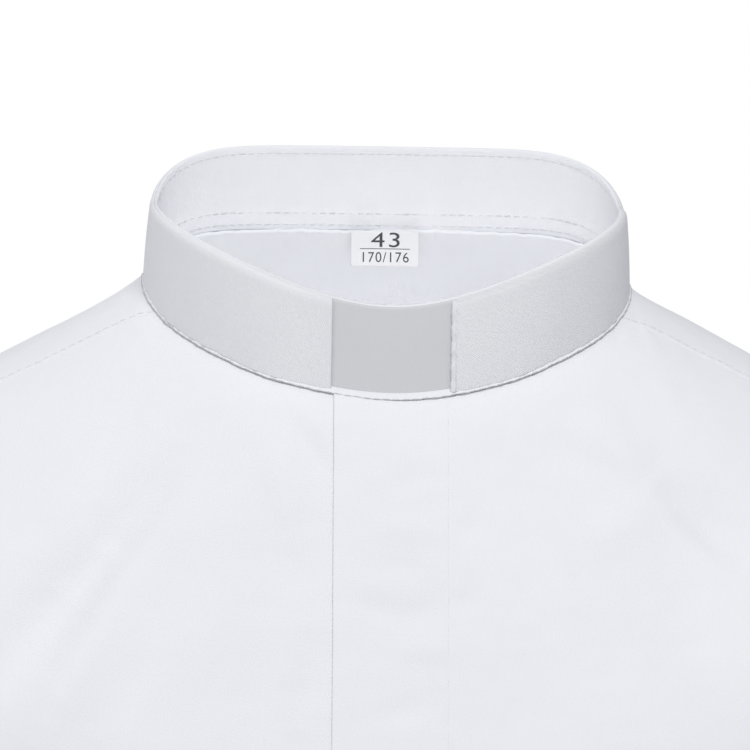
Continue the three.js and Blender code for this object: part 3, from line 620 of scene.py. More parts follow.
VECTOR, FLOAT, COLOUR = "NodeSocketVector", "NodeSocketFloat", "NodeSocketColor"
weave, ends_in, ends_out = new_group(
    "plain_weave",
    [("Vector", VECTOR, None), ("Threads per metre", FLOAT, 2200.0), ("Slubs", FLOAT, 0.5)],
    [("Height", FLOAT), ("Shade", FLOAT)],
)
split = add_node(weave, "ShaderNodeSeparateXYZ", {0: ends_in.outputs["Vector"]})
turns = math_node(weave, "MULTIPLY", ends_in.outputs["Threads per metre"], math.pi)
warp = math_node(weave, "SINE", math_node(weave, "MULTIPLY", split.outputs[0], turns))
weft = math_node(weave, "SINE", math_node(weave, "MULTIPLY", split.outputs[1], turns))
crossing = math_node(weave, "MULTIPLY", warp, weft)
long_slubs = stretched_noise(weave, ends_in.outputs["Vector"], (1500, 90, 1))
wide_slubs = stretched_noise(weave, ends_in.outputs["Vector"], (90, 1300, 1))
slubs = math_node(weave, "ADD", long_slubs, wide_slubs)
slub_height = math_node(weave, "MULTIPLY", slubs, ends_in.outputs["Slubs"])
height = math_node(weave, "ADD", math_node(weave, "MULTIPLY", crossing, 0.3), slub_height)
weave.links.new(height, ends_out.inputs["Height"])
weave.links.new(math_node(weave, "SUBTRACT", slubs, 0.5), ends_out.inputs["Shade"])

twill, twill_in, twill_out = new_group(
    "twill_ribs",
    [("Vector", VECTOR, None), ("Ribs per metre", FLOAT, 900.0), ("Unevenness", FLOAT, 0.6)],
    [("Height", FLOAT), ("Shade", FLOAT)],
)
split = add_node(twill, "ShaderNodeSeparateXYZ", {0: twill_in.outputs["Vector"]})
slant = math_node(twill, "ADD", split.outputs[0], math_node(twill, "MULTIPLY", split.outputs[1], 0.8))
turns = math_node(twill, "MULTIPLY", twill_in.outputs["Ribs per metre"], 2 * math.pi)
shake = stretched_noise(twill, twill_in.outputs["Vector"], (700, 700, 1), 3.0)
swing = math_node(twill, "MULTIPLY", twill_in.outputs["Unevenness"], 9.0)
shaken = math_node(twill, "MULTIPLY", shake, swing)
rib = math_node(twill, "SINE", math_node(twill, "ADD", math_node(twill, "MULTIPLY", slant, turns), shaken))
grain = stretched_noise(twill, twill_in.outputs["Vector"], (1600, 1600, 1), 3.0)
height = math_node(twill, "ADD", math_node(twill, "MULTIPLY", rib, 0.5), grain)
twill.links.new(height, twill_out.inputs["Height"])
twill.links.new(math_node(twill, "SUBTRACT", height, 0.2), twill_out.inputs["Shade"])

mottle, mottle_in, mottle_out = new_group(
    "soft_mottle",
    [
        ("Vector", VECTOR, None),
        ("Size", FLOAT, 30.0),
        ("Light", COLOUR, (1, 1, 1, 1)),
        ("Dark", COLOUR, (0.9, 0.9, 0.9, 1)),
        ("Shade", FLOAT, 0.5),
        ("Shade amount", FLOAT, 0.3),
    ],
    [("Color", COLOUR), ("Roughness", FLOAT)],
)
cloud_values = {"Vector": mottle_in.outputs["Vector"], "Scale": mottle_in.outputs["Size"], "Detail": 4.0}
cloud = add_node(mottle, "ShaderNodeTexNoise", cloud_values)
shade = math_node(mottle, "MULTIPLY", mottle_in.outputs["Shade"], mottle_in.outputs["Shade amount"])
amount = add_node(mottle, "ShaderNodeClamp", {0: math_node(mottle, "ADD", cloud.outputs[0], shade)})
tone = add_node(mottle, "ShaderNodeMix", {0: amount.outputs[0]}, data_type="RGBA")
mottle.links.new(mottle_in.outputs["Dark"], tone.inputs[6])
mottle.links.new(mottle_in.outputs["Light"], tone.inputs[7])
mottle.links.new(tone.outputs[2], mottle_out.inputs["Color"])
dulling = {0: amount.outputs[0], 1: -0.15, 2: 0.92}
dulled = add_node(mottle, "ShaderNodeMath", dulling, operation="MULTIPLY_ADD")
mottle.links.new(dulled.outputs[0], mottle_out.inputs["Roughness"])
print("node groups:", len(bpy.data.node_groups))


# %% Materials
MOTTLE_SIZE = 30.0


def new_material(name, light, dark, pattern, numbers, bump, shade=0.25):
    """A material whose colour, roughness and bump come from a pattern group and the mottle group."""
    material = bpy.data.materials.new(name)
    material.use_nodes = True
    tree = material.node_tree
    shader = tree.nodes["Principled BSDF"]
    place = add_node(tree, "ShaderNodeUVMap", uv_map="cloth").outputs[0]
    drawn = add_node(tree, "ShaderNodeGroup", node_tree=pattern)
    tree.links.new(place, drawn.inputs["Vector"])
    for socket, value in numbers.items():
        drawn.inputs[socket].default_value = value
    where = add_node(tree, "ShaderNodeTexCoord").outputs["Object"]
    tone = add_node(tree, "ShaderNodeGroup", node_tree=mottle)
    tree.links.new(where, tone.inputs["Vector"])
    tree.links.new(drawn.outputs["Shade"], tone.inputs["Shade"])
    tone.inputs["Size"].default_value = MOTTLE_SIZE
    tone.inputs["Light"].default_value = (*light, 1)
    tone.inputs["Dark"].default_value = (*dark, 1)
    tone.inputs["Shade amount"].default_value = shade
    tree.links.new(tone.outputs["Color"], shader.inputs["Base Color"])
    tree.links.new(tone.outputs["Roughness"], shader.inputs["Roughness"])
    relief = {"Strength": 1.0, "Distance": bump, "Height": drawn.outputs["Height"]}
    raised = add_node(tree, "ShaderNodeBump", relief)
    tree.links.new(raised.outputs[0], shader.inputs["Normal"])
    return material


poplin = new_material("poplin", (0.83, 0.842, 0.875), (0.79, 0.802, 0.84), weave,
                      {"Threads per metre": 2400.0, "Slubs": 0.6}, 0.00005)
collar_cloth = new_material("collar_twill", (0.84, 0.852, 0.882), (0.75, 0.763, 0.797), twill,
                            {"Ribs per metre": 1500.0, "Unevenness": 0.9}, 0.00007, shade=0.4)
tab_finish = new_material("stiff_tab", (0.65, 0.658, 0.682), (0.62, 0.628, 0.652), twill,
                          {"Ribs per metre": 1200.0, "Unevenness": 0.9}, 0.00001)
tag_satin = new_material("tag_satin", (0.79, 0.795, 0.81), (0.75, 0.755, 0.77), weave,
                         {"Threads per metre": 3000.0, "Slubs": 0.3}, 0.00002)
thread = new_material("sewing_thread", (0.86, 0.87, 0.89), (0.78, 0.79, 0.81), twill,
                      {"Ribs per metre": 2500.0, "Unevenness": 0.3}, 0.00004)
button_shell = new_material("button_shell", (0.88, 0.875, 0.86), (0.80, 0.80, 0.79), twill,
                            {"Ribs per metre": 300.0, "Unevenness": 1.0}, 0.00001)
ink = new_material("printed_ink", (0.07, 0.07, 0.08), (0.05, 0.05, 0.06), weave,
                   {"Threads per metre": 3000.0, "Slubs": 0.3}, 0.00001)
print("materials:", [m.name for m in bpy.data.materials])

# %% [markdown]
# ## Seams as lines on the body
# The armhole is an oval round the shoulder with its own angle, 0 at the shoulder's tip and 180 degrees at
# the armpit. The yoke lies over the shoulders between the two armholes, and ends in a seam down the front
# of each shoulder and one across the back.

# %% Seam lines
ARMHOLE_FRONT, ARMHOLE_BACK = math.radians(22), math.radians(23)
FRONT_CORNER, BACK_CORNER = math.radians(20), math.radians(46)
YOKE_NECK = math.radians(62)
YOKE_BACK_ROW = 3.66
QUARTER = math.pi / 2


def armhole_row(turn):
    """Row of the armhole at an angle round it, from the shoulder's tip."""
    return TIP_ROW + 1 - np.cos(turn)


def armhole_front(turn):
    """Angle of the armhole's front half."""
    return QUARTER - ARMHOLE_FRONT * np.sin(turn)


def armhole_back(turn):
    """Angle of the armhole's back half."""
    return QUARTER + ARMHOLE_BACK * np.sin(turn)


def ease_out(share):
    """A share that runs fast at first and slowly at the end."""
    return 1 - (1 - share) ** 2


def between(a, b, share):
    """A value between two others."""
    return a + (b - a) * share


CORNER_ROW = armhole_row(FRONT_CORNER)
BACK_CORNER_ROW = armhole_row(BACK_CORNER)


def yoke_back_row(angle):
    """Row of the back seam at an angle."""
    reach = np.sin(angle) / math.sin(armhole_back(BACK_CORNER))
    return YOKE_BACK_ROW + (BACK_CORNER_ROW - YOKE_BACK_ROW) * reach**2


def front_angle(x, row):
    """Angle at which the body is a distance x to the side of the centre front."""
    angle = np.arctan2(x, smooth_value(BODY["front"], row))
    for _ in range(3):
        angle = angle + np.arctan2(x - plain_body(angle, row)[..., 0], 100)
    return angle


print("armhole from row", round(float(CORNER_ROW), 2), "to", ARMPIT_ROW)

# %% [markdown]
# ## The body panels
# Each panel is a grid between its seams. Its rows lie about 2 mm apart where the picture looks, and further
# apart below. On top of the broad folds come the small creases, a slow unevenness of the whole cloth, the
# waves that the stitches draw in, and the low steps of the turned edges.

# %% Front panels
FRONT_LAP = 12
UPPER_ROWS, ARMHOLE_ROWS, LOWER_ROWS = 110, 60, 110
FRONT_COLUMNS = 140


def edge_shares(count, close=0.0015):
    """Evenly spaced shares with one more sample close to each end, for crisp edges."""
    even = np.linspace(0, 1, count + 1)
    return np.concatenate([[0, close], even[1:-1], [1 - close, 1]])


def crease_height(points):
    """How far out the creases and the unevenness of the cloth move points of the body."""
    height = fold_height(points, small_chains, sharp=True) + fold_height(points, soft_chains, sharp=False)
    return height + 0.45 * rumple(points, 40, 90, 25) + 0.07 * rumple(points, 41, 14, 6)


def dress(points, extra=0.0):
    """Adds creases and unevenness to a grid of points, and returns it with its normals."""
    normals = grid_normals(points)
    dressed = points + normals * (crease_height(points) + extra)[..., None]
    return dressed, grid_normals(dressed)


share = np.linspace(0, 1, UPPER_ROWS + 1)
turn = np.linspace(FRONT_CORNER, math.pi, ARMHOLE_ROWS + 1)[1:]
lower = np.concatenate([np.linspace(ARMPIT_ROW, HEM_ROW, LOWER_ROWS + 1)[1:-1], [HEM_ROW - 0.012, HEM_ROW]])
below_corner = np.linspace(CORNER_ROW, ARMPIT_ROW, ARMHOLE_ROWS + 1)[1:]
shoulder_edge = between(YOKE_NECK, armhole_front(FRONT_CORNER), ease_out(share))
front_rows = {
    "middle": np.concatenate([share * CORNER_ROW, below_corner, lower]),
    "row": np.concatenate([share * CORNER_ROW, armhole_row(turn), lower]),
    "edge": np.concatenate([shoulder_edge, armhole_front(turn), np.full(len(lower), QUARTER)]),
}


def front_grid(side):
    """Grid of a front panel. side is 1 for the wearer's left and -1 for the right."""
    middle, row, edge = (front_rows[name][:, None] for name in ("middle", "row", "edge"))
    shares = edge_shares(FRONT_COLUMNS)[None]
    start = front_angle(FRONT_LAP, middle)
    angle = side * between(start, edge, shares)
    points = body_points(angle, between(middle, row, shares**5))
    from_edge = lengths_along(points[:, ::-1], 1)[:, ::-1]
    down = lengths_along(points, 0)
    from_hem = down[-1:] - down
    by_armhole = (np.arange(len(row)) > UPPER_ROWS)[:, None] & (row <= ARMPIT_ROW)
    extra = puckers(from_edge, down, 5, 7, 0.12, 3 + side) + turned_edge(from_hem, 6, 0.35)
    extra = extra + np.where(by_armhole, turned_edge(from_edge, 8, 0.3), 0)
    extra = extra + puckers(down, from_edge, 5, 6, 0.14, 5 + side)
    extra = extra + puckers(from_hem, from_edge, 4, 9, 0.2, 8 + side)
    if side < 0:
        points, extra = points[:, ::-1], extra[:, ::-1]
    return dress(points, extra)


fronts = {}
for side, word in ((1, "left"), (-1, "right")):
    points, normals = front_grid(side)
    fronts[word] = (points, normals)
    inner = points - normals * BODY_CLOTH
    make_cloth(f"front_{word}_cloth", points, inner, poplin, replaces=[f"front_{word}"])
print("front panel grid:", points.shape[:2])

# %% Back panel
BACK_COLUMNS = 130
BACK_UPPER_ROWS = 60
EDGE_LAP, SIDE_LAP = 1.2, math.radians(2.2)


def back_grid():
    """Grid of the back, from the yoke's seam to the hem, lapped over both fronts."""
    shares = edge_shares(BACK_COLUMNS)[None]
    turn = np.linspace(BACK_CORNER, math.pi, BACK_UPPER_ROWS + 1)[:, None]
    corner = armhole_back(BACK_CORNER)
    top = yoke_back_row(between(corner, 2 * math.pi - corner, shares))
    at_edge = (armhole_row(turn) - BACK_CORNER_ROW) / (ARMPIT_ROW - BACK_CORNER_ROW)
    even = np.linspace(0, 1, BACK_UPPER_ROWS + 1)[:, None]
    down_share = between(even, at_edge, np.abs(2 * shares - 1) ** 5)
    edge = armhole_back(turn)
    upper = body_points(between(edge, 2 * math.pi - edge, shares), between(top, ARMPIT_ROW, down_share))
    lap = SIDE_LAP * smooth_step((lower[:, None] - ARMPIT_ROW) / 0.2)
    below = body_points(QUARTER - lap + (math.pi + 2 * lap) * shares, lower[:, None])
    points = np.concatenate([upper, below])
    for edge, near, inside in ((0, 1, 2), (-1, -2, -3)):
        lap = unit(points[:, edge] - points[:, inside]) * EDGE_LAP
        points[:, edge] += lap
        points[:, near] += lap * 0.9
    from_right = lengths_along(points, 1)
    from_edge = np.minimum(from_right, from_right[:, -1:] - from_right)
    down = lengths_along(points, 0)
    from_hem = down[-1:] - down
    by_armhole = (np.arange(len(points)) < BACK_UPPER_ROWS)[:, None]
    extra = turned_edge(from_hem, 6, 0.35) + puckers(from_hem, from_right, 4, 9, 0.2, 21)
    extra = extra + puckers(down, from_right, 6, 7, 0.2, 22) + puckers(from_edge, down, 5, 7, 0.12, 23)
    extra = extra + np.where(by_armhole, turned_edge(from_edge, 8, 0.3), turned_edge(from_edge, 9, 0.5))
    return dress(points, extra)


back_points, back_normals = back_grid()
make_cloth("back_cloth", back_points, back_points - back_normals * BODY_CLOTH, poplin, replaces=["back"])
print("back grid:", back_points.shape[:2])

# %% [markdown]
# ## The yoke
# A shirt's yoke is cut double, with its edges turned under and stitched down on the fronts and the back. So
# its edges lie a little above the panels and have a soft step as wide as the turning.

# %% Yoke
YOKE_OVERLAP = 1.5
YOKE_RAISE, YOKE_TURNING = 0.1, 0.5
YOKE_ROWS = 84
CORNER_SHARE = 4 / 26


def yoke_edge(share):
    """Angle and row of the yoke's outer edge, by share from one front seam round the back to the other."""
    mirrored = share > 0.5
    near = np.where(mirrored, 1 - share, share)
    turn = between(-FRONT_CORNER, BACK_CORNER, np.clip(near / CORNER_SHARE, 0, 1))
    over_angle = np.where(turn < 0, armhole_front(-turn), armhole_back(turn))
    over_row = armhole_row(np.abs(turn))
    corner = armhole_back(BACK_CORNER)
    seam_share = np.clip((near - CORNER_SHARE) / (1 - 2 * CORNER_SHARE), 0, 1)
    seam_angle = between(corner, 2 * math.pi - corner, seam_share)
    on_seam = near > CORNER_SHARE
    angle = np.where(on_seam, seam_angle, over_angle)
    row = np.where(on_seam, yoke_back_row(seam_angle), over_row)
    return np.where(mirrored, 2 * math.pi - angle, angle), row


def yoke_grid():
    """Grid of the yoke, from the neckline out to its edge."""
    shares = np.concatenate([
        [0, 0.0008],
        np.linspace(0, CORNER_SHARE, 60)[1:-1],
        np.linspace(CORNER_SHARE, 1 - CORNER_SHARE, 170),
        np.linspace(1 - CORNER_SHARE, 1, 60)[1:-1],
        [0.9992, 1],
    ])[None]
    down_share = np.concatenate([np.linspace(0, 1, YOKE_ROWS + 1)[:-1], [0.9985, 1]])[:, None]
    neck_angle = between(YOKE_NECK, 2 * math.pi - YOKE_NECK, shares)
    edge_angle, edge_row = yoke_edge(shares)
    points = body_points(between(neck_angle, edge_angle, ease_out(down_share)), edge_row * down_share)
    points[-1] += unit(points[-1] - points[-3]) * YOKE_OVERLAP
    for edge, near, inside in ((0, 1, 2), (-1, -2, -3)):
        points[:, edge] += unit(points[:, edge] - points[:, inside]) * YOKE_OVERLAP
        points[:, near] += unit(points[:, edge] - points[:, inside]) * YOKE_OVERLAP * 0.9
    down = lengths_along(points, 0)
    from_back = down[-1:] - down
    along = lengths_along(points, 1)
    from_front = np.minimum(along, along[:, -1:] - along)
    extra = YOKE_RAISE + turned_edge(from_back, 7, 0.25) + turned_edge(from_front, 7, 0.06)
    extra = extra + puckers(from_back, along, 6, 7, 0.16, 31) + puckers(from_front, down, 5, 6, 0.12, 32)
    extra = extra + puckers(down, along, 5, 6, 0.15, 33)
    return dress(points, extra)


yoke_points, yoke_normals = yoke_grid()
yoke_inner = yoke_points - yoke_normals * (BODY_CLOTH + YOKE_TURNING)
make_cloth("yoke_cloth", yoke_points, yoke_inner, poplin, replaces=["yoke"])
print("yoke grid:", yoke_points.shape[:2])

# %% [markdown]
# ## The placket
# The covered front is a folded strip. Its fold on the wearer's right stands free, so it is the thick edge
# and casts a line of shadow. The other edge is sewn down and nearly flush. The buttons under it show only as
# very faint swellings.

# %% Placket
PLACKET_HALF = 16.6
FREE_LIFT, SEWN_LIFT = 0.85, 0.1
PLACKET_THICK = 0.6
UNDER_LIP = 2.5
HIDDEN_BUTTONS = [-88 - 86 * k for k in range(7)]
BUTTON_HALF, BUTTON_SWELL = 6.5, 0.16


def placket_grid():
    """Grid of the placket, from the collar's foot to the hem."""
    across = np.concatenate([[-1, -0.985], np.linspace(-0.93, 0.93, 15), [0.985, 1]])[None] * PLACKET_HALF
    middle = front_rows["middle"][:, None]
    points = body_points(front_angle(across, middle), middle)
    points[0] += unit(points[3] - points[0]) * UNDER_LIP
    lift = between(FREE_LIFT, SEWN_LIFT, smooth_step((across / PLACKET_HALF + 1) / 2))
    down = lengths_along(points, 0)
    from_sewn = PLACKET_HALF - across
    lift = between(SEWN_LIFT, lift, smooth_step((down - 2) / 6))
    extra = lift + puckers(from_sewn + 0 * down, down, 4, 8, 0.07, 71)
    extra = extra + turned_edge(down[-1:] - down, 6, 0.2)
    for height in HIDDEN_BUTTONS:
        distance = np.hypot(points[..., 0] - 1, points[..., 2] - height)
        extra = extra + BUTTON_SWELL * np.exp(-((distance / BUTTON_HALF) ** 2))
    return dress(points, extra)


placket_points, placket_normals = placket_grid()
placket_inner = placket_points - placket_normals * PLACKET_THICK
make_cloth("placket_strip", placket_points, placket_inner, poplin, replaces=["placket"])
print("placket grid:", placket_points.shape[:2])

# %% [markdown]
# ## The collar
# It has two layers. The stand is the inner one: it goes all the way round, and its foot comes out under the
# outer one as a narrow lip. The fall is the outer one, open in a window at the front. Both rise from the
# neckline to the rim, so a point is given by its angle, its height up the wall and its distance out from
# the stand's inner face.

# %% Collar frame
STAND_WALL, FALL_WALL, TAB_WALL, COLLAR_GAP = 1.0, 1.0, 0.7, 0.3
LIP_HEIGHT, LIP_PROUD, LIP_CLEARANCE, ON_TOP = 0.55, 0.35, 0.15, 0.35
WINDOW_HALF, TAB_TUCK, TAB_BELOW_RIM, POCKET_EASE = 17.2, 13, 0.4, 22
LEAST_OUTWARD = 0.75


def pocket_gap(angle):
    """Width of the space between the collar's two layers: wide enough for the tab in front."""
    x = np.abs(ring_points(RIM, angle)[..., 0])
    near = np.where(np.cos(angle) > 0, 1 - smooth_step((x - WINDOW_HALF - TAB_TUCK) / POCKET_EASE), 0)
    return COLLAR_GAP + near * (TAB_WALL + COLLAR_GAP)


def collar_frame(angle):
    """The collar's foot, the ways up and out of its wall, its height, and the way the panels fall."""
    angle = np.asarray(angle, float)
    level = np.zeros_like(angle)
    start = body_points(angle, level)
    foot = start + normals_by_steps(body_points, angle, level) * ON_TOP
    rise = ring_points(RIM, angle) - foot
    up = unit(rise)
    out = unit(np.cross(ring_points(RIM, angle + 0.01) - ring_points(RIM, angle - 0.01), up))
    down = unit(body_points(angle, level + 0.3) - start)
    return foot, up, out, np.linalg.norm(rise, axis=-1), down


def dot(a, b):
    """Products of pairs of vectors."""
    return np.sum(a * b, axis=-1)


def collar_points(angle, rise, out_by):
    """Points of the collar. rise is up from the foot and out_by out from the stand's inner face."""
    foot, up, out, _, _ = collar_frame(angle)
    return foot + up * np.asarray(rise)[..., None] + out * np.asarray(out_by)[..., None]


def collar_height(angle):
    """Height of the collar's wall."""
    return collar_frame(angle)[3]


def along_panels(angle, out_by):
    """Length down the panels to a distance out, cut short where they fall away steeply."""
    _, _, out, _, down = collar_frame(angle)
    return out_by / np.maximum(dot(down, out), LEAST_OUTWARD)


def panel_height(angle, out_by):
    """Height of the panels against the collar's foot at a distance out."""
    _, up, _, _, down = collar_frame(angle)
    return along_panels(angle, out_by) * dot(down, up) + panel_rise(angle)


def above_lip(angle, out_by):
    """Height just above the lip at a distance out."""
    return panel_height(angle, out_by) + LIP_HEIGHT + LIP_CLEARANCE


def collar_angle(x):
    """Angle at which the rim is a distance x to the side of the centre front."""
    angle = np.arctan2(x, RIM["front"])
    for _ in range(4):
        angle = angle + np.arctan2(x - ring_points(RIM, angle)[..., 0], 80)
    return angle


around_neck = np.linspace(0, 2 * math.pi, 361)[:-1]
neck_normals = normals_by_steps(body_points, around_neck, 0 * around_neck)
neck_height = collar_height(around_neck)
halfway_up = collar_points(around_neck, neck_height / 2, 0 * around_neck)
neck_length = np.linalg.norm(np.diff(halfway_up, axis=0), axis=1).sum()
along_neck = around_neck / (2 * math.pi) * neck_length
print("collar height", neck_height.min().round(1), "to", neck_height.max().round(1), "mm")
print("collar length", round(neck_length), "mm")

# %% Where the lip lies
LIP_SHARE, LIP_GAP, LOOK_FROM = 0.6, 0.3, 6


def search_tree(grids):
    """The faces of several grids, ready to be searched."""
    faces, start = [], 0
    for grid in grids:
        rows, columns = grid.shape[:2]
        index = start + np.arange(rows * columns).reshape(rows, columns)
        corners = [index[:-1, :-1], index[1:, :-1], index[1:, 1:], index[:-1, 1:]]
        faces.append(np.stack(corners, axis=-1).reshape(-1, 4))
        start += rows * columns
    points = np.vstack([grid.reshape(-1, 3) for grid in grids])
    return BVHTree.FromPolygons(points.tolist(), np.vstack(faces).tolist())


def lip_edge():
    """Outer edge of the lip on the plain body, and how far the dressed panels stand above it."""
    foot, _, _, _, down = collar_frame(around_neck)
    widened = LIP_SHARE * (pocket_gap(around_neck) - COLLAR_GAP)
    lip_out = STAND_WALL + FALL_WALL + LIP_PROUD + COLLAR_GAP + widened
    crimp = puckers(0 * along_neck, along_neck, 1, 7, 0.1, 81)
    edge = foot + down * (along_panels(around_neck, lip_out) + crimp)[:, None]
    panels = search_tree([fronts["left"][0], fronts["right"][0], yoke_points])
    rise = crease_height(edge)
    for k, (point, normal) in enumerate(zip(edge, neck_normals)):
        start = point + LOOK_FROM * normal
        distance = panels.ray_cast(start.tolist(), (-normal).tolist(), 2 * LOOK_FROM)[3]
        if distance is not None:
            rise[k] = max(rise[k], LOOK_FROM - distance + LIP_GAP)
    for _ in range(2):
        rise = (np.roll(rise, 1) + 2 * rise + np.roll(rise, -1)) / 4
    return edge, rise


lip_line, lip_rise = lip_edge()


def panel_rise(angle):
    """How far the dressed panels stand above the plain body at the lip."""
    return np.interp(angle, around_neck, lip_rise, period=2 * math.pi)


print("panels at the lip:", lip_rise.min().round(2), "to", lip_rise.max().round(2), "mm above the body")

# %% Stand with its lip
BAND_HEIGHT = 6.3
BAND_THICK = 0.3


def stand_layers():
    """Outer and inner grid of the stand, from its rim down and out to the lip's edge."""
    down = collar_frame(around_neck)[4]
    lip_top = panel_height(around_neck, STAND_WALL) + LIP_HEIGHT + 0.2
    shares = np.concatenate([np.linspace(1, 0.12, 22), [0.08, 0.05, 0.02]])
    outer, inner = [], []
    for share in shares:
        rise = share * neck_height
        band = BAND_THICK * (1 - smooth_step((rise - BAND_HEIGHT) / 0.8 + 0.5))
        wave = 0.1 * np.sin(along_neck / 3.1 + 5 * share) * np.exp(-np.abs(rise - BAND_HEIGHT) / 2)
        inner.append(collar_points(around_neck, rise, -band + wave))
        outer.append(collar_points(around_neck, np.maximum(rise, lip_top), np.full_like(rise, STAND_WALL)))
    edge = lip_line + neck_normals * lip_rise[:, None]
    profile = ((1.2, -0.3, 0.5), (1.1, -0.05, 0.4), (0.7, 0.02, 0.3), (0.4, -0.12, 0.1), (0.35, -1.1, 0.0))
    for rise, out_by, inner_rise in profile:
        outer.append(edge + neck_normals * (rise * LIP_HEIGHT) + down * out_by)
        inner.append(collar_points(around_neck, 0 * neck_height + inner_rise, 0 * neck_height - BAND_THICK))
    return np.array(outer), np.array(inner)


stand_outer, stand_inner = stand_layers()
make_cloth("collar_stand_cloth", stand_outer, stand_inner, poplin, around=True, rounding=(1, 0, 0, 0),
           slot="collar_cloth", replaces=["collar_stand"])

# %% Fall with its window
WINDOW_TOP_HALF, WINDOW_FOOT_HALF = 17.6, 16.5
ROLL_REACH, ROLL_IN, FRAY = 1.7, 0.6, 0.22


def fall_layers():
    """Outer and inner grid of the fall, from one side of the window round to the other."""
    shares = np.concatenate([[1, 0.985], np.linspace(0.96, 0.05, 22), [0.02, 0]])
    across = np.concatenate([[0, 0.0007, 0.0016], np.linspace(0, 1, 341)[1:-1], [0.9984, 0.9993, 1]])
    outer, inner = [], []
    for share in shares:
        start = float(collar_angle(np.array(between(WINDOW_FOOT_HALF, WINDOW_TOP_HALF, share))))
        angle = between(start, 2 * math.pi - start, across)
        height = collar_height(angle)
        along = angle / (2 * math.pi) * neck_length
        roll = np.clip(1 - (1 - share) * height / ROLL_REACH, 0, 1) ** 2
        gap = pocket_gap(angle) - COLLAR_GAP
        fray = np.zeros_like(angle)
        uneven = math.sin(31 * share) + 0.7 * math.sin(73 * share + 1) + 0.4 * math.sin(140 * share)
        fray[:3] = FRAY * uneven
        swell = 0.25 * math.sin(math.pi * share) + puckers(share * height, along, 3, 5, 0.12, 91)
        base = STAND_WALL + COLLAR_GAP * (1 - roll) + gap
        inner.append(collar_points(angle, between(above_lip(angle, base), height, share), base))
        thin_edge = 0.45 * (1 - smooth_step((1 - across) * neck_length / 4))
        face = base + FALL_WALL - roll * ROLL_IN - thin_edge
        rise = between(above_lip(angle, face), height, share)
        outer.append(collar_points(angle, rise, face + swell + fray))
    return np.array(outer), np.array(inner)


fall_outer, fall_inner = fall_layers()
make_cloth("collar_fall_cloth", fall_outer, fall_inner, collar_cloth, slot="collar_cloth",
           replaces=["collar_fall"])

# %% Tab
def tab_layers():
    """Outer and inner grid of the tab."""
    half = float(collar_angle(np.array(WINDOW_HALF + TAB_TUCK)))
    angle = np.linspace(-half, half, 61)
    shares = np.concatenate([[1, 0.98], np.linspace(0.94, 0.06, 14), [0.02, 0]])
    outer, inner = [], []
    for share in shares:
        top = collar_height(angle) - TAB_BELOW_RIM
        for layer, out_by in ((inner, STAND_WALL + COLLAR_GAP), (outer, STAND_WALL + COLLAR_GAP + TAB_WALL)):
            out_by = np.full_like(top, out_by)
            layer.append(collar_points(angle, between(above_lip(angle, out_by), top, share), out_by))
    return np.array(outer), np.array(inner)


tab_outer, tab_inner = tab_layers()
make_cloth("collar_tab_plate", tab_outer, tab_inner, tab_finish, slot="tab_plastic", replaces=["collar_tab"])
print("collar pieces made")

# %% [markdown]
# ## The size tag
# A folded satin tag hangs from the seam at the back of the neck. Its size figures are printed, so they are
# flat letters from Blender's own font, turned into a mesh and laid on the tag point by point.

# %% Size tag
TAG_HALF, TAG_DROP, TAG_WALL, TAG_MIDDLE = 10.4, 10.5, 0.35, 0.6
PRINT_LIFT = np.array([0, -0.03, 0])
middle_back, neckline = np.array(math.pi), np.array(0.0)
seam_point = body_points(middle_back, neckline) - normals_by_steps(body_points, middle_back, neckline) * 1.5


def tag_points(x, down):
    """Points on the tag's face, x to the wearer's left and down from its top, in millimetres."""
    x, down = np.asarray(x, float), np.asarray(down, float)
    share = down / TAG_DROP
    y = seam_point[1] - 0.9 - 0.6 * (x / TAG_HALF) ** 2 - 1.6 * share**2 + 0.2 * np.sin(x / 3 + 1)
    return np.stack([x + TAG_MIDDLE, y, seam_point[2] + 0.75 - down], axis=-1)


tag_x = np.linspace(-TAG_HALF, TAG_HALF, 30)[None]
tag_down = np.linspace(0, TAG_DROP, 20)[:, None]
tag_face = tag_points(*np.broadcast_arrays(tag_x, tag_down))
tag_back = tag_face + np.array([0, TAG_WALL, 0])
make_cloth("size_tag_satin", tag_face, tag_back, tag_satin, slot="tag_satin", replaces=["size_tag"])


def print_on_tag(name, words, height, stretch, x, down):
    """Flat figures on the tag, centred on x, with their foot at a distance down the tag."""
    text = bpy.data.curves.new(name, "FONT")
    text.body, text.size, text.align_x = words, height, "CENTER"
    text.space_character = 1.12
    shown = bpy.data.objects.new(name, text)
    scene.collection.objects.link(shown)
    bpy.context.view_layer.update()
    mesh = bpy.data.meshes.new_from_object(shown.evaluated_get(bpy.context.evaluated_depsgraph_get()))
    bpy.data.objects.remove(shown)
    flat = np.array([vertex.co for vertex in mesh.vertices])
    laid = tag_points(x + flat[:, 0] * stretch, down - flat[:, 1]) + PRINT_LIFT
    mesh.vertices.foreach_set("co", (laid * MM).ravel())
    mesh.uv_layers.new(name="cloth")
    mesh.materials.append(ink)
    return put_piece(name, mesh)


print_on_tag("size_figures", "43", 6.5, 1.4, 0.5, 4.7)
print_on_tag("height_figures", "170/176", 4.4, 0.95, 0.0, 9.3)
rule = tag_points(*np.broadcast_arrays(np.linspace(-7.6, 7.8, 20)[None], np.array([[5.15], [5.35]])))
rule = rule + PRINT_LIFT
make_cloth("tag_rule", rule, rule + np.array([0, 0.02, 0]), ink, slot="tag_satin")
print("tag at", seam_point.round(1))

# %% [markdown]
# ## Sleeves
# A sleeve is a tube of rings that hang from the armhole. Each ring has an outer and an inner end and a
# depth. The first rings pass from the armhole's own curve into the arm's rings. Creases gather at the bend
# of the elbow and under the arm, and the fullness at the wrist is pleated into the cuff.

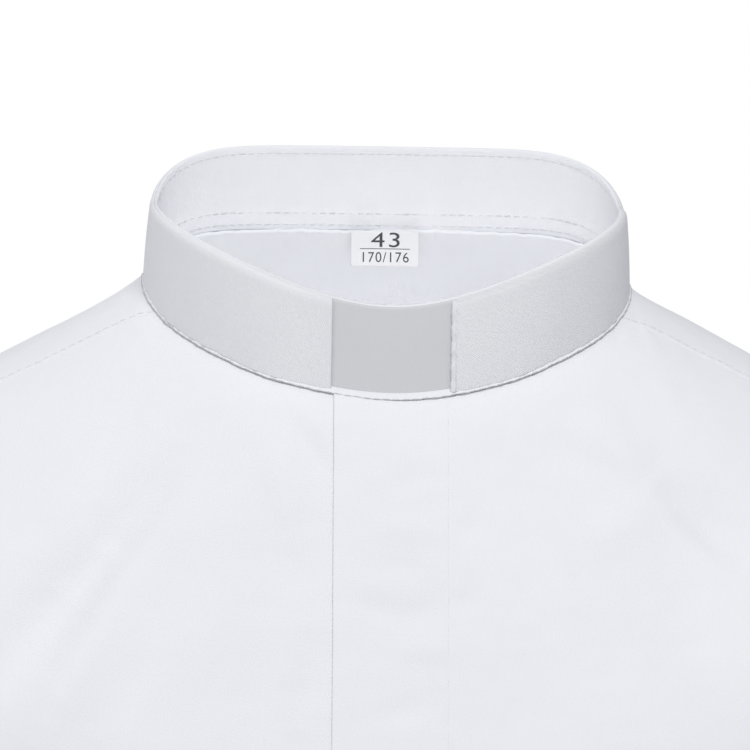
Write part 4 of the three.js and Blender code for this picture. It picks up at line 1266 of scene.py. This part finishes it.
# %% Sleeve form
SLEEVE_COLUMNS = "out_x out_z in_x in_z half shift".split()
SLEEVE_ROWS = [
    [212, -77, 222, -246, 84, -5],
    [244, -97, 228, -258, 84, -4],
    [284, -150, 231, -276, 80, -2],
    [312, -222, 233, -303, 77, 0],
    [327, -300, 236, -348, 74, 3],
    [333, -378, 241, -400, 70, 5],
    [334, -442, 247, -448, 67, 4],
    [331, -515, 251, -513, 62, -3],
    [327, -578, 254, -575, 57, -12],
    [322, -625, 257, -625, 47, -19],
]
SLEEVE = columns_of(SLEEVE_COLUMNS, SLEEVE_ROWS)
WRIST_ROW = 9
SLEEVE_FOLDS = [
    # row, slope, angle round the sleeve, how far round it reaches, width in rows, height
    [1.6, 0.5, 60, 55, 0.4, -4],
    [2.6, -0.4, -70, 60, 0.4, -4],
    [5.3, 0.5, 150, 70, 0.33, -5],
    [6.2, -0.4, 170, 75, 0.33, -6],
    [6.9, 0.5, 120, 60, 0.33, 4],
    [5.9, -0.3, -20, 60, 0.4, 4],
    [7.7, 0.4, -60, 60, 0.36, -4],
    [8.3, -0.3, 60, 70, 0.3, 4],
]
SLEEVE_CREASES = [
    [0.7, 0.35, 100, 40, 0.10, 2.7],
    [1.0, -0.3, -96, 44, 0.10, -2.7],
    [0.5, 0.6, 150, 30, 0.08, 2.8],
    [1.3, 0.5, 172, 40, 0.09, -3.2],
    [1.9, -0.5, 130, 45, 0.11, 3.2],
    [2.3, 0.5, -140, 45, 0.11, 2.8],
    [2.9, 0.3, 165, 50, 0.10, -3.2],
    [3.6, -0.4, 95, 50, 0.12, 2.7],
    [3.9, 0.4, -105, 50, 0.12, 2.8],
    [4.6, 0.4, 160, 45, 0.10, 4],
    [4.9, -0.5, -150, 45, 0.10, 3.8],
    [5.2, 0.3, 120, 45, 0.09, -4],
    [5.6, 0.4, 175, 50, 0.09, 5.3],
    [5.9, -0.3, 125, 40, 0.08, 4.2],
    [6.1, 0.5, -130, 45, 0.09, -4.6],
    [6.4, -0.4, 160, 50, 0.09, 4.8],
    [6.7, 0.3, 60, 40, 0.10, 3.4],
    [7.0, 0.4, -90, 45, 0.11, 4],
    [7.3, -0.4, 140, 45, 0.10, -3.4],
    [7.6, 0.4, -20, 50, 0.12, 3.2],
    [7.9, -0.5, 100, 50, 0.11, 3.8],
    [8.2, 0.4, -130, 50, 0.10, 3.4],
]
PLEATS, PLEAT_DEPTH, MOST_PUFF = 6, 2.2, 6.0


def sleeve_points(turn, row):
    """Points of the sleeve by the ring's angle (0 outside, 90 in front, 180 inside) and row."""
    ring = {name: smooth_value(values, row) for name, values in SLEEVE.items()}
    out = np.stack([ring["out_x"], ring["shift"], ring["out_z"]], axis=-1)
    inner = np.stack([ring["in_x"], ring["shift"], ring["in_z"]], axis=-1)
    radius = (out - inner) / 2
    puff = sleeve_puff(turn, row, SLEEVE_FOLDS)
    near_cuff = smooth_step((row - WRIST_ROW + 1.6) / 1.2) * (1 - smooth_step((row - WRIST_ROW + 0.5) / 0.5))
    puff = puff + near_cuff * PLEAT_DEPTH * np.cos(PLEATS * turn)
    grow = 1 + puff / np.linalg.norm(radius, axis=-1)
    points = (out + inner) / 2 + radius * (np.cos(turn) * grow)[..., None]
    points[..., 1] -= ring["half"] * np.sin(turn) * (1 + puff / ring["half"])
    return points


def sleeve_puff(turn, row, folds, sharp=False):
    """How far folds of the sleeve move a point out."""
    total = np.zeros(np.broadcast(turn, row).shape)
    for at_row, slope, at_turn, spread, width, height in folds:
        gone = np.angle(np.exp(1j * (turn - math.radians(at_turn)))) / math.radians(spread)
        line = (row - at_row - slope * gone) / width
        profile = np.exp(0.4 - np.sqrt(line**2 + 0.16)) if sharp else np.exp(-(line**2))
        total = total + height * np.exp(-(gone**2)) * profile
    return total


def armhole_loop(count):
    """Angles and rows round the armhole: up its front, over the shoulder and down its back."""
    turn = np.linspace(-math.pi, math.pi, count + 1)[:-1]
    in_front = turn < 0
    angle = np.where(in_front, armhole_front(-turn), armhole_back(turn))
    return angle, armhole_row(np.abs(turn))


SLEEVE_SIDES, SLEEVE_LENGTH_ROWS = 128, 190


def sleeve_grid():
    """Grid of the left sleeve with its normals and the angles round it."""
    loop = body_points(*armhole_loop(SLEEVE_SIDES))
    out = np.array([SLEEVE["out_x"][0], 0, SLEEVE["out_z"][0]])
    inner = np.array([SLEEVE["in_x"][0], 0, SLEEVE["in_z"][0]])
    axis = unit(out - inner)
    radius = np.linalg.norm(out - inner) / 2
    centre = (out + inner) / 2 + np.array([0, SLEEVE["shift"][0], 0])
    arm = loop - centre
    turn = np.arctan2(-arm[:, 1] / SLEEVE["half"][0], arm @ axis / radius)
    offset = loop - sleeve_points(turn, np.zeros_like(turn))
    share = np.concatenate([np.linspace(0, 1, SLEEVE_LENGTH_ROWS + 1)[:-1], [0.999, 1]])
    row = (WRIST_ROW * (0.82 * share + 0.18 * share**2))[:, None]
    turn = turn[None]
    ease = (1 - smooth_step(row / 2)) ** 1.3
    points = sleeve_points(*np.broadcast_arrays(turn, row)) + offset[None] * ease[..., None]
    points[0] += unit(points[0] - points[2]) * 1.2
    normals = grid_normals(points, around=True)
    down = lengths_along(points, 0)
    around = lengths_along(np.concatenate([points, points[:, :1]], axis=1), 1)[:, :-1]
    height = sleeve_puff(turn, row, SLEEVE_CREASES, sharp=True)
    height = height + 0.35 + 0.5 * rumple(points, 73, 80, 22) + 0.06 * rumple(points, 74, 14, 6)
    height = height + puckers(down, around, 6, 8, 0.35, 75) + turned_edge(down, 2, 0.15)
    close = np.exp(-(down[-1:] - down) / 22)
    flattened = smooth_step((20 - (down[-1:] - down)) / 20) * 0.75
    pleats = np.cos(turn * 9 + 0.5 * np.sin(3 * turn)) * (1 - flattened)
    height = height + close * 1.1 * pleats
    height = np.minimum(height, MOST_PUFF)
    points = points + normals * height[..., None]
    return points, grid_normals(points, around=True), turn


left_sleeve, left_sleeve_normals, sleeve_turn = sleeve_grid()
print("sleeve grid:", left_sleeve.shape[:2])
MIRROR = np.array([-1.0, 1.0, 1.0])


def both_sides(name, outer, inner, material, around=False):
    """Makes a piece on the wearer's left and its twin on the right."""
    for word, flip in (("left", False), ("right", True)):
        layers = [grid * MIRROR if flip else grid for grid in (outer, inner)]
        if flip:
            layers = [grid[:, ::-1] for grid in layers]
        make_cloth(f"{name}_{word}_cloth", *layers, material, around, replaces=[f"{name}_{word}"])


both_sides("sleeve", left_sleeve, left_sleeve - left_sleeve_normals * BODY_CLOTH, poplin, around=True)

# %% [markdown]
# ## Cuffs and sleeve slits
# A cuff is a stiff band with its end lapped over its start and buttoned. Above it the sleeve is slit, and
# the slit is covered by a pointed strip with a small button.

# %% Cuffs
CUFF_WALL, CUFF_HEIGHT, CUFF_LAP, CUFF_DROP = 2.0, 64, 24, 2
CUFF_START = math.radians(-118)
wrist = {name: values[-1] for name, values in SLEEVE.items()}
wrist_half = (wrist["out_x"] - wrist["in_x"]) / 2
cuff_girth = 2 * math.pi * math.hypot(wrist_half, wrist["half"]) * math.sqrt(0.5)
CUFF_TURN = 2 * math.pi * (1 + CUFF_LAP / cuff_girth)


def cuff_points(turn, down, out_by):
    """Points of the cuff by angle, share of its height and distance out."""
    flare = 1 - 0.03 * down
    normal = unit(np.stack([np.cos(turn) * wrist["half"], -np.sin(turn) * wrist_half, 0 * turn], axis=-1))
    centre = (wrist["out_x"] + wrist["in_x"]) / 2
    points = np.stack([
        centre + wrist_half * flare * np.cos(turn),
        wrist["shift"] - wrist["half"] * flare * np.sin(turn) - CUFF_DROP * down,
        wrist["out_z"] - CUFF_HEIGHT * down + 0 * turn,
    ], axis=-1)
    return points + normal * out_by[..., None]


def cuff_lift(share):
    """How far out the lapped end of the cuff lies."""
    lap_start = 2 * math.pi / CUFF_TURN
    return (CUFF_WALL + 0.6) * smooth_step((share - lap_start + 0.11) / 0.1)


cuff_share = edge_shares(150, 0.003)[None]
cuff_down = edge_shares(26, 0.012)[:, None]
cuff_turn = CUFF_START - CUFF_TURN * cuff_share
cuff_turn, cuff_down = np.broadcast_arrays(cuff_turn, cuff_down)
cuff_length = cuff_share * CUFF_TURN / (2 * math.pi) * cuff_girth
edge_gap = np.minimum(cuff_down, 1 - cuff_down) * CUFF_HEIGHT
swell = 0.35 * np.sin(math.pi * cuff_down) ** 0.5
swell = swell + puckers(edge_gap, cuff_length + 0 * edge_gap, 4, 6, 0.1, 95)
cuff_outer = cuff_points(cuff_turn, cuff_down, cuff_lift(cuff_share) + swell)
cuff_inner = cuff_points(cuff_turn, cuff_down, cuff_lift(cuff_share) - 1.6 + 0 * swell)
both_sides("cuff", cuff_outer[:, ::-1], cuff_inner[:, ::-1], poplin)
print("cuff girth", round(cuff_girth), "mm")

# %% Sleeve slits
SLIT_WIDTH, SLIT_LENGTH = 22, 135
SLIT_TURN = CUFF_START - CUFF_TURN + (CUFF_LAP / 2 / cuff_girth) * 2 * math.pi
wrapped = np.angle(np.exp(1j * (sleeve_turn[0] - SLIT_TURN)))


def slit_point(across, up):
    """Point and normal on the dressed sleeve, across and up from the cuff in millimetres."""
    across, up = np.broadcast_arrays(np.asarray(across, float), np.asarray(up, float))
    down = lengths_along(left_sleeve, 0)
    column = int(np.argmin(np.abs(wrapped)))
    shape = across.shape
    points, normals = np.zeros((*shape, 3)), np.zeros((*shape, 3))
    column_z = (down[-1] - down)[:, column]
    for place in np.ndindex(shape):
        j = int(np.argmin(np.abs(column_z - 3 - up[place])))
        ring, ring_normals = left_sleeve[j], left_sleeve_normals[j]
        direction = unit(np.roll(ring, -1, axis=0)[column] - ring[column])
        distance = (ring - ring[column]) @ direction
        near = np.flatnonzero(np.abs(wrapped) < 0.9)
        near = near[np.argsort(distance[near])]
        for axis in range(3):
            points[place][axis] = np.interp(across[place], distance[near], ring[near, axis])
            normals[place][axis] = np.interp(across[place], distance[near], ring_normals[near, axis])
    return points, unit(normals)


SLIT_POINT = 13
pointed_rows = np.linspace(SLIT_LENGTH, SLIT_LENGTH - 14, 8)
slit_up = np.concatenate([pointed_rows, np.linspace(SLIT_LENGTH - 20, 0, 34)])[:, None]
half_width = SLIT_WIDTH / 2 * np.clip((SLIT_LENGTH - slit_up) / SLIT_POINT + 0.05, 0, 1)
slit_across = half_width * np.linspace(-1, 1, 13)[None]
slit_points, slit_normals = slit_point(slit_across, slit_up + 0 * slit_across)
for _ in range(3):
    slit_points[1:-1] = (slit_points[:-2] + 2 * slit_points[1:-1] + slit_points[2:]) / 4
slit_top = slit_points + slit_normals * 1.5
slit_mesh_normals = grid_normals(slit_top)
facing = np.sign(np.sum(slit_mesh_normals * slit_normals))
if facing < 0:
    slit_top, slit_normals = slit_top[:, ::-1], slit_normals[:, ::-1]
both_sides("sleeve_slit", slit_top, slit_top - slit_normals * 1.3, poplin)
print("slit strip grid:", slit_top.shape[:2])

# %% [markdown]
# ## Buttons
# A shirt button is turned from shell or resin: a raised rounded rim round a shallow dish with four holes,
# sewn on with two bars of thread. The profile is spun round its axis, and four small cylinders cut the
# holes out of it.

# %% Buttons
BUTTON_PROFILE = [
    # distance from the axis as a share of the radius, and height in millimetres
    (0.0, 1.5), (0.18, 1.5), (0.5, 1.55), (0.62, 1.7), (0.72, 2.05), (0.82, 2.28), (0.9, 2.25),
    (0.97, 2.0), (1.0, 1.6), (1.0, 1.0), (0.95, 0.6), (0.8, 0.25), (0.0, 0.0),
]


def circle(radius, sides, z, centre=(0, 0)):
    """Points round a circle at a height."""
    turns = [k * 2 * math.pi / sides for k in range(sides)]
    return [(centre[0] + radius * math.cos(t), centre[1] + radius * math.sin(t), z) for t in turns]


def button_mesh(name, radius):
    """A button with four holes, its back on z = 0, in millimetres."""
    profile = BUTTON_PROFILE
    sides, hole_sides = 48, 16
    mesh = bpy.data.meshes.new(name)
    points = [(0, 0, profile[0][1])]
    faces = []
    for r, z in profile[1:-1]:
        points += circle(radius * r, sides, z)
    points.append((0, 0, 0))
    last = len(points) - 1
    for k in range(sides):
        n = (k + 1) % sides
        faces.append((0, 1 + k, 1 + n))
        for ring in range(len(profile) - 3):
            a, b = 1 + ring * sides, 1 + (ring + 1) * sides
            faces.append((a + k, b + k, b + n, a + n))
        a = 1 + (len(profile) - 3) * sides
        faces.append((a + k, last, a + n))
    mesh.from_pydata(points, [], faces)
    holes = bpy.data.meshes.new(name + "_holes")
    hole_points, hole_faces = [], []
    for h in range(4):
        turned = (h + 0.5) * QUARTER
        centre = (radius * 0.3 * math.cos(turned), radius * 0.3 * math.sin(turned))
        low = len(hole_points)
        high = low + hole_sides
        for z in (-1, 4):
            hole_points += circle(radius * 0.13, hole_sides, z, centre)
        for k in range(hole_sides):
            n = (k + 1) % hole_sides
            hole_faces.append((low + k, low + n, high + n, high + k))
        hole_faces.append(tuple(low + k for k in reversed(range(hole_sides))))
        hole_faces.append(tuple(high + k for k in range(hole_sides)))
    holes.from_pydata(hole_points, [], hole_faces)
    disc, drill = (bpy.data.objects.new(m.name, m) for m in (mesh, holes))
    for made in (disc, drill):
        scene.collection.objects.link(made)
    cut = disc.modifiers.new("holes", "BOOLEAN")
    cut.object, cut.solver = drill, "EXACT"
    bpy.context.view_layer.update()
    result = bpy.data.meshes.new_from_object(disc.evaluated_get(bpy.context.evaluated_depsgraph_get()))
    for made in (disc, drill):
        bpy.data.objects.remove(made)
    return result


def sewn_button(name, radius, point, normal, node):
    """A button on a point of the cloth, with its thread, on both sides."""
    base = button_mesh(name, radius)
    turn = Vector((0, 0, 1)).rotation_difference(Vector(normal)).to_matrix()
    flat = np.array([vertex.co for vertex in base.vertices]) @ np.array(turn).T + point
    faces = [tuple(face.vertices) for face in base.polygons]
    bars = []
    for sign in (-1, 1):
        bar = [(-0.3, 0.21 * sign), (0, 0.21 * sign), (0.3, 0.21 * sign)]
        bars.append([np.array([x * radius, y * radius, 1.62 + 0.28 * (1 - (x / 0.3) ** 2)]) for x, y in bar])
    for word, flip in (("left", False), ("right", True)):
        placed = flat * MIRROR if flip else flat
        mesh = bpy.data.meshes.new(f"{name}_{word}")
        mesh.from_pydata((placed * MM).tolist(), [], [face[::-1] for face in faces] if flip else faces)
        mesh.uv_layers.new(name="cloth")
        mesh.materials.append(button_shell)
        mesh.shade_smooth()
        mesh.set_sharp_from_angle(angle=math.radians(40))
        put_piece(f"{name}_{word}_shell", mesh, replaces=[f"{node}_{word}"])
        paths = [np.array(bar) @ np.array(turn).T + point for bar in bars]
        paths = [path * MIRROR if flip else path for path in paths]
        lifted = np.array(normal) * (MIRROR if flip else 1)
        threads = [(path, np.tile(lifted, (len(path), 1))) for path in paths]
        add_stitches(f"{name}_{word}_thread", threads, long=99, width=0.55, proud=0.4)


# %% [markdown]
# ## Stitches
# A row of lockstitch is a line of short thread lengths that dip into the cloth at both ends. Each stitch is
# a small rounded grain laid along its seam's path, and each seam's grains are one mesh.

# %% Stitches
STITCH_LONG, STITCH_GAP = 2.3, 0.55


def walk(path, normals, distances):
    """Points and normals at distances along a path."""
    along = lengths_along(path[None], 1)[0]
    point = np.stack([np.interp(distances, along, path[:, k]) for k in range(3)], axis=-1)
    normal = np.stack([np.interp(distances, along, normals[:, k]) for k in range(3)], axis=-1)
    return point, unit(normal), along[-1]


def add_stitches(name, paths, long=STITCH_LONG, gap=STITCH_GAP, width=0.42, proud=0.22):
    """Rows of stitches along paths of (points, normals)."""
    rings, sides = 5, 5
    vertices, faces = [], []
    for path, normals in paths:
        total = lengths_along(path[None], 1)[0, -1]
        count = max(1, int(total / (long + gap)))
        pitch = total / count
        starts = np.arange(count) * pitch + gap / 2
        shares = np.linspace(0, 1, rings)
        at = starts[:, None] + shares * (pitch - gap)
        point, normal, _ = walk(path, normals, at.ravel())
        ahead, _, _ = walk(path, normals, np.minimum(at.ravel() + 0.2, total))
        behind, _, _ = walk(path, normals, np.maximum(at.ravel() - 0.2, 0))
        side = unit(np.cross(ahead - behind, normal))
        thick = np.tile(0.35 + 0.65 * np.sin(math.pi * shares) ** 0.6, count)
        bend = np.linspace(0, math.pi, sides)
        local = (
            side[:, None] * (np.cos(bend)[None] * thick[:, None] * width / 2)[..., None]
            + normal[:, None] * ((np.sin(bend)[None] * thick[:, None] * proud) - 0.06)[..., None]
        )
        start = sum(len(v) for v in vertices)
        vertices.append((point[:, None] + local).reshape(-1, 3))
        ring_start = start + np.arange(count * rings).reshape(count, rings) * sides
        for r in range(rings - 1):
            for k in range(sides - 1):
                a, b = ring_start[:, r] + k, ring_start[:, r + 1] + k
                faces.append(np.stack([a, b, b + 1, a + 1], axis=-1))
    mesh = bpy.data.meshes.new(name)
    mesh.from_pydata((np.vstack(vertices) * MM).tolist(), [], np.vstack(faces).tolist())
    mesh.uv_layers.new(name="cloth")
    mesh.materials.append(thread)
    mesh.shade_smooth()
    return put_piece(name, mesh)


def inset(points, normals, edge, distance):
    """Path at a distance in from an edge of a grid: top, bottom, left or right."""
    if edge in ("top", "bottom"):
        points, normals = points.transpose(1, 0, 2), normals.transpose(1, 0, 2)
    if edge in ("bottom", "right"):
        points, normals = points[:, ::-1], normals[:, ::-1]
    along = lengths_along(points, 1)
    path, normal = np.zeros((len(points), 3)), np.zeros((len(points), 3))
    for j, k in np.ndindex(path.shape):
        path[j, k] = np.interp(distance, along[j], points[j, :, k])
        normal[j, k] = np.interp(distance, along[j], normals[j, :, k])
    return path, unit(normal)


def closed_loop(points):
    """A path that ends where it starts."""
    return np.concatenate([points, points[:1]])


yoke_paths = [inset(yoke_points, yoke_normals, edge, 1.8) for edge in ("left", "right", "bottom")]
trimmed = slice(38, -38)
yoke_paths[2] = tuple(part[trimmed] for part in yoke_paths[2])
add_stitches("yoke_stitches", yoke_paths)
hem_paths = [inset(*fronts[word], "bottom", 5.5) for word in ("left", "right")]
hem_paths.append(inset(back_points, back_normals, "bottom", 5.5))
add_stitches("hem_stitches", hem_paths)
arm_rows = slice(UPPER_ROWS + 1, UPPER_ROWS + ARMHOLE_ROWS)
arm_paths = []
for word, edge in (("left", "right"), ("right", "left")):
    path, normal = inset(*fronts[word], edge, 7)
    arm_paths.append((path[arm_rows], normal[arm_rows]))
    path, normal = inset(back_points, back_normals, "left" if word == "left" else "right", 7)
    arm_paths.append((path[:BACK_UPPER_ROWS], normal[:BACK_UPPER_ROWS]))
add_stitches("armhole_stitches", arm_paths)
side_paths = []
for edge in ("left", "right"):
    for distance in (1.5, 7):
        path, normal = inset(back_points, back_normals, edge, distance)
        side_paths.append((path[BACK_UPPER_ROWS:], normal[BACK_UPPER_ROWS:]))
add_stitches("side_seam_stitches", side_paths)

rim_inner = collar_points(around_neck, neck_height, np.zeros_like(around_neck))
rim_outer = collar_points(around_neck, neck_height, np.ones_like(around_neck))
inward = -unit(rim_outer - rim_inner)


def inside_collar(rise, out_by):
    """Path all round the inside of the collar, at a height up from its foot or down from its rim."""
    rise = np.where(np.asarray(rise) < 0, neck_height + rise, rise)
    path = collar_points(around_neck, rise, np.full_like(around_neck, out_by))
    return closed_loop(path), closed_loop(inward)


inside_paths = [
    inside_collar(-2.0, -0.02),
    inside_collar(BAND_HEIGHT - 0.9, -BAND_THICK - 0.02),
    inside_collar(1.5, -BAND_THICK - 0.02),
]
add_stitches("collar_inside_stitches", inside_paths, proud=0.14)
lip_path, lip_normals = stand_outer[-4], unit(stand_outer[-4] - stand_inner[-4])
lip_paths = [(closed_loop(lip_path), closed_loop(lip_normals))]
add_stitches("lip_stitches", lip_paths, width=0.35, proud=0.15)

for word, flip in (("left", False), ("right", True)):
    sides = MIRROR if flip else np.ones(3)
    cuff_normals = grid_normals(cuff_outer[:, ::-1])
    cuff_paths = [inset(cuff_outer[:, ::-1], cuff_normals, edge, 5) for edge in ("top", "bottom", "left")]
    cuff_paths = [(path * sides, normal * sides) for path, normal in cuff_paths]
    add_stitches(f"cuff_{word}_stitches", cuff_paths)
    slit_paths = [inset(slit_top, slit_normals, edge, 1.6) for edge in ("left", "right")]
    slit_paths = [(path[6:] * sides, normal[6:] * sides) for path, normal in slit_paths]
    add_stitches(f"slit_{word}_stitches", slit_paths)

cuff_mid = 1 - CUFF_LAP / 2 / cuff_girth / (CUFF_TURN / 2 / math.pi)
place_turn, half_down = np.array(CUFF_START - CUFF_TURN * cuff_mid), np.array(0.5)
button_at = cuff_points(place_turn, half_down, np.array(cuff_lift(cuff_mid) + 0.5))
outside_cuff = cuff_points(place_turn, half_down, np.array(9.0))
button_facing = unit(outside_cuff - cuff_points(place_turn, half_down, np.array(0.0)))
sewn_button("cuff_button", 5.5, button_at, button_facing, "cuff_button")
slit_button_at, slit_facing = slit_point(np.array([0.0]), np.array([0.42 * SLIT_LENGTH]))
sewn_button("slit_button", 4.5, slit_button_at[0] + slit_facing[0] * 1.6, slit_facing[0], "slit_button")
print("pieces:", len(pieces))

# %% [markdown]
# ## The cloth pieces and their areas
# Each cloth piece is listed as a flat sheet with the size it was cut to, its flat area where one is given,
# and the piece it rests on. Its area here is printed beside the flat one.

def area_of(name):
    """Area of one side of a shell, in square metres."""
    return sum(face.area for face in pieces[name].data.polygons) / 2


SHEETS = [
    ("front_left_cloth", (0.29, 0.74), 0.17, "yoke_cloth"),
    ("front_right_cloth", (0.29, 0.74), 0.17, "yoke_cloth"),
    ("back_cloth", (0.56, 0.70), 0.31, "yoke_cloth"),
    ("yoke_cloth", (0.45, 0.25), 0.07, "collar_stand_cloth"),
    ("placket_strip", (0.034, 0.73), None, "front_left_cloth"),
    ("collar_stand_cloth", (0.44, 0.033), None, "yoke_cloth"),
    ("collar_fall_cloth", (0.41, 0.028), None, "collar_stand_cloth"),
    ("size_tag_satin", (0.021, 0.0105), None, "collar_stand_cloth"),
    ("sleeve_left_cloth", (0.44, 0.60), 0.20, "yoke_cloth"),
    ("sleeve_right_cloth", (0.44, 0.60), 0.20, "yoke_cloth"),
    ("cuff_left_cloth", (0.28, 0.065), None, "sleeve_left_cloth"),
    ("cuff_right_cloth", (0.28, 0.065), None, "sleeve_right_cloth"),
    ("sleeve_slit_left_cloth", (0.022, 0.135), None, "sleeve_left_cloth"),
    ("sleeve_slit_right_cloth", (0.022, 0.135), None, "sleeve_right_cloth"),
]
for name, flat, area, rests_on in SHEETS:
    print(name, "area", round(area_of(name), 4), "flat", area or round(flat[0] * flat[1], 4))
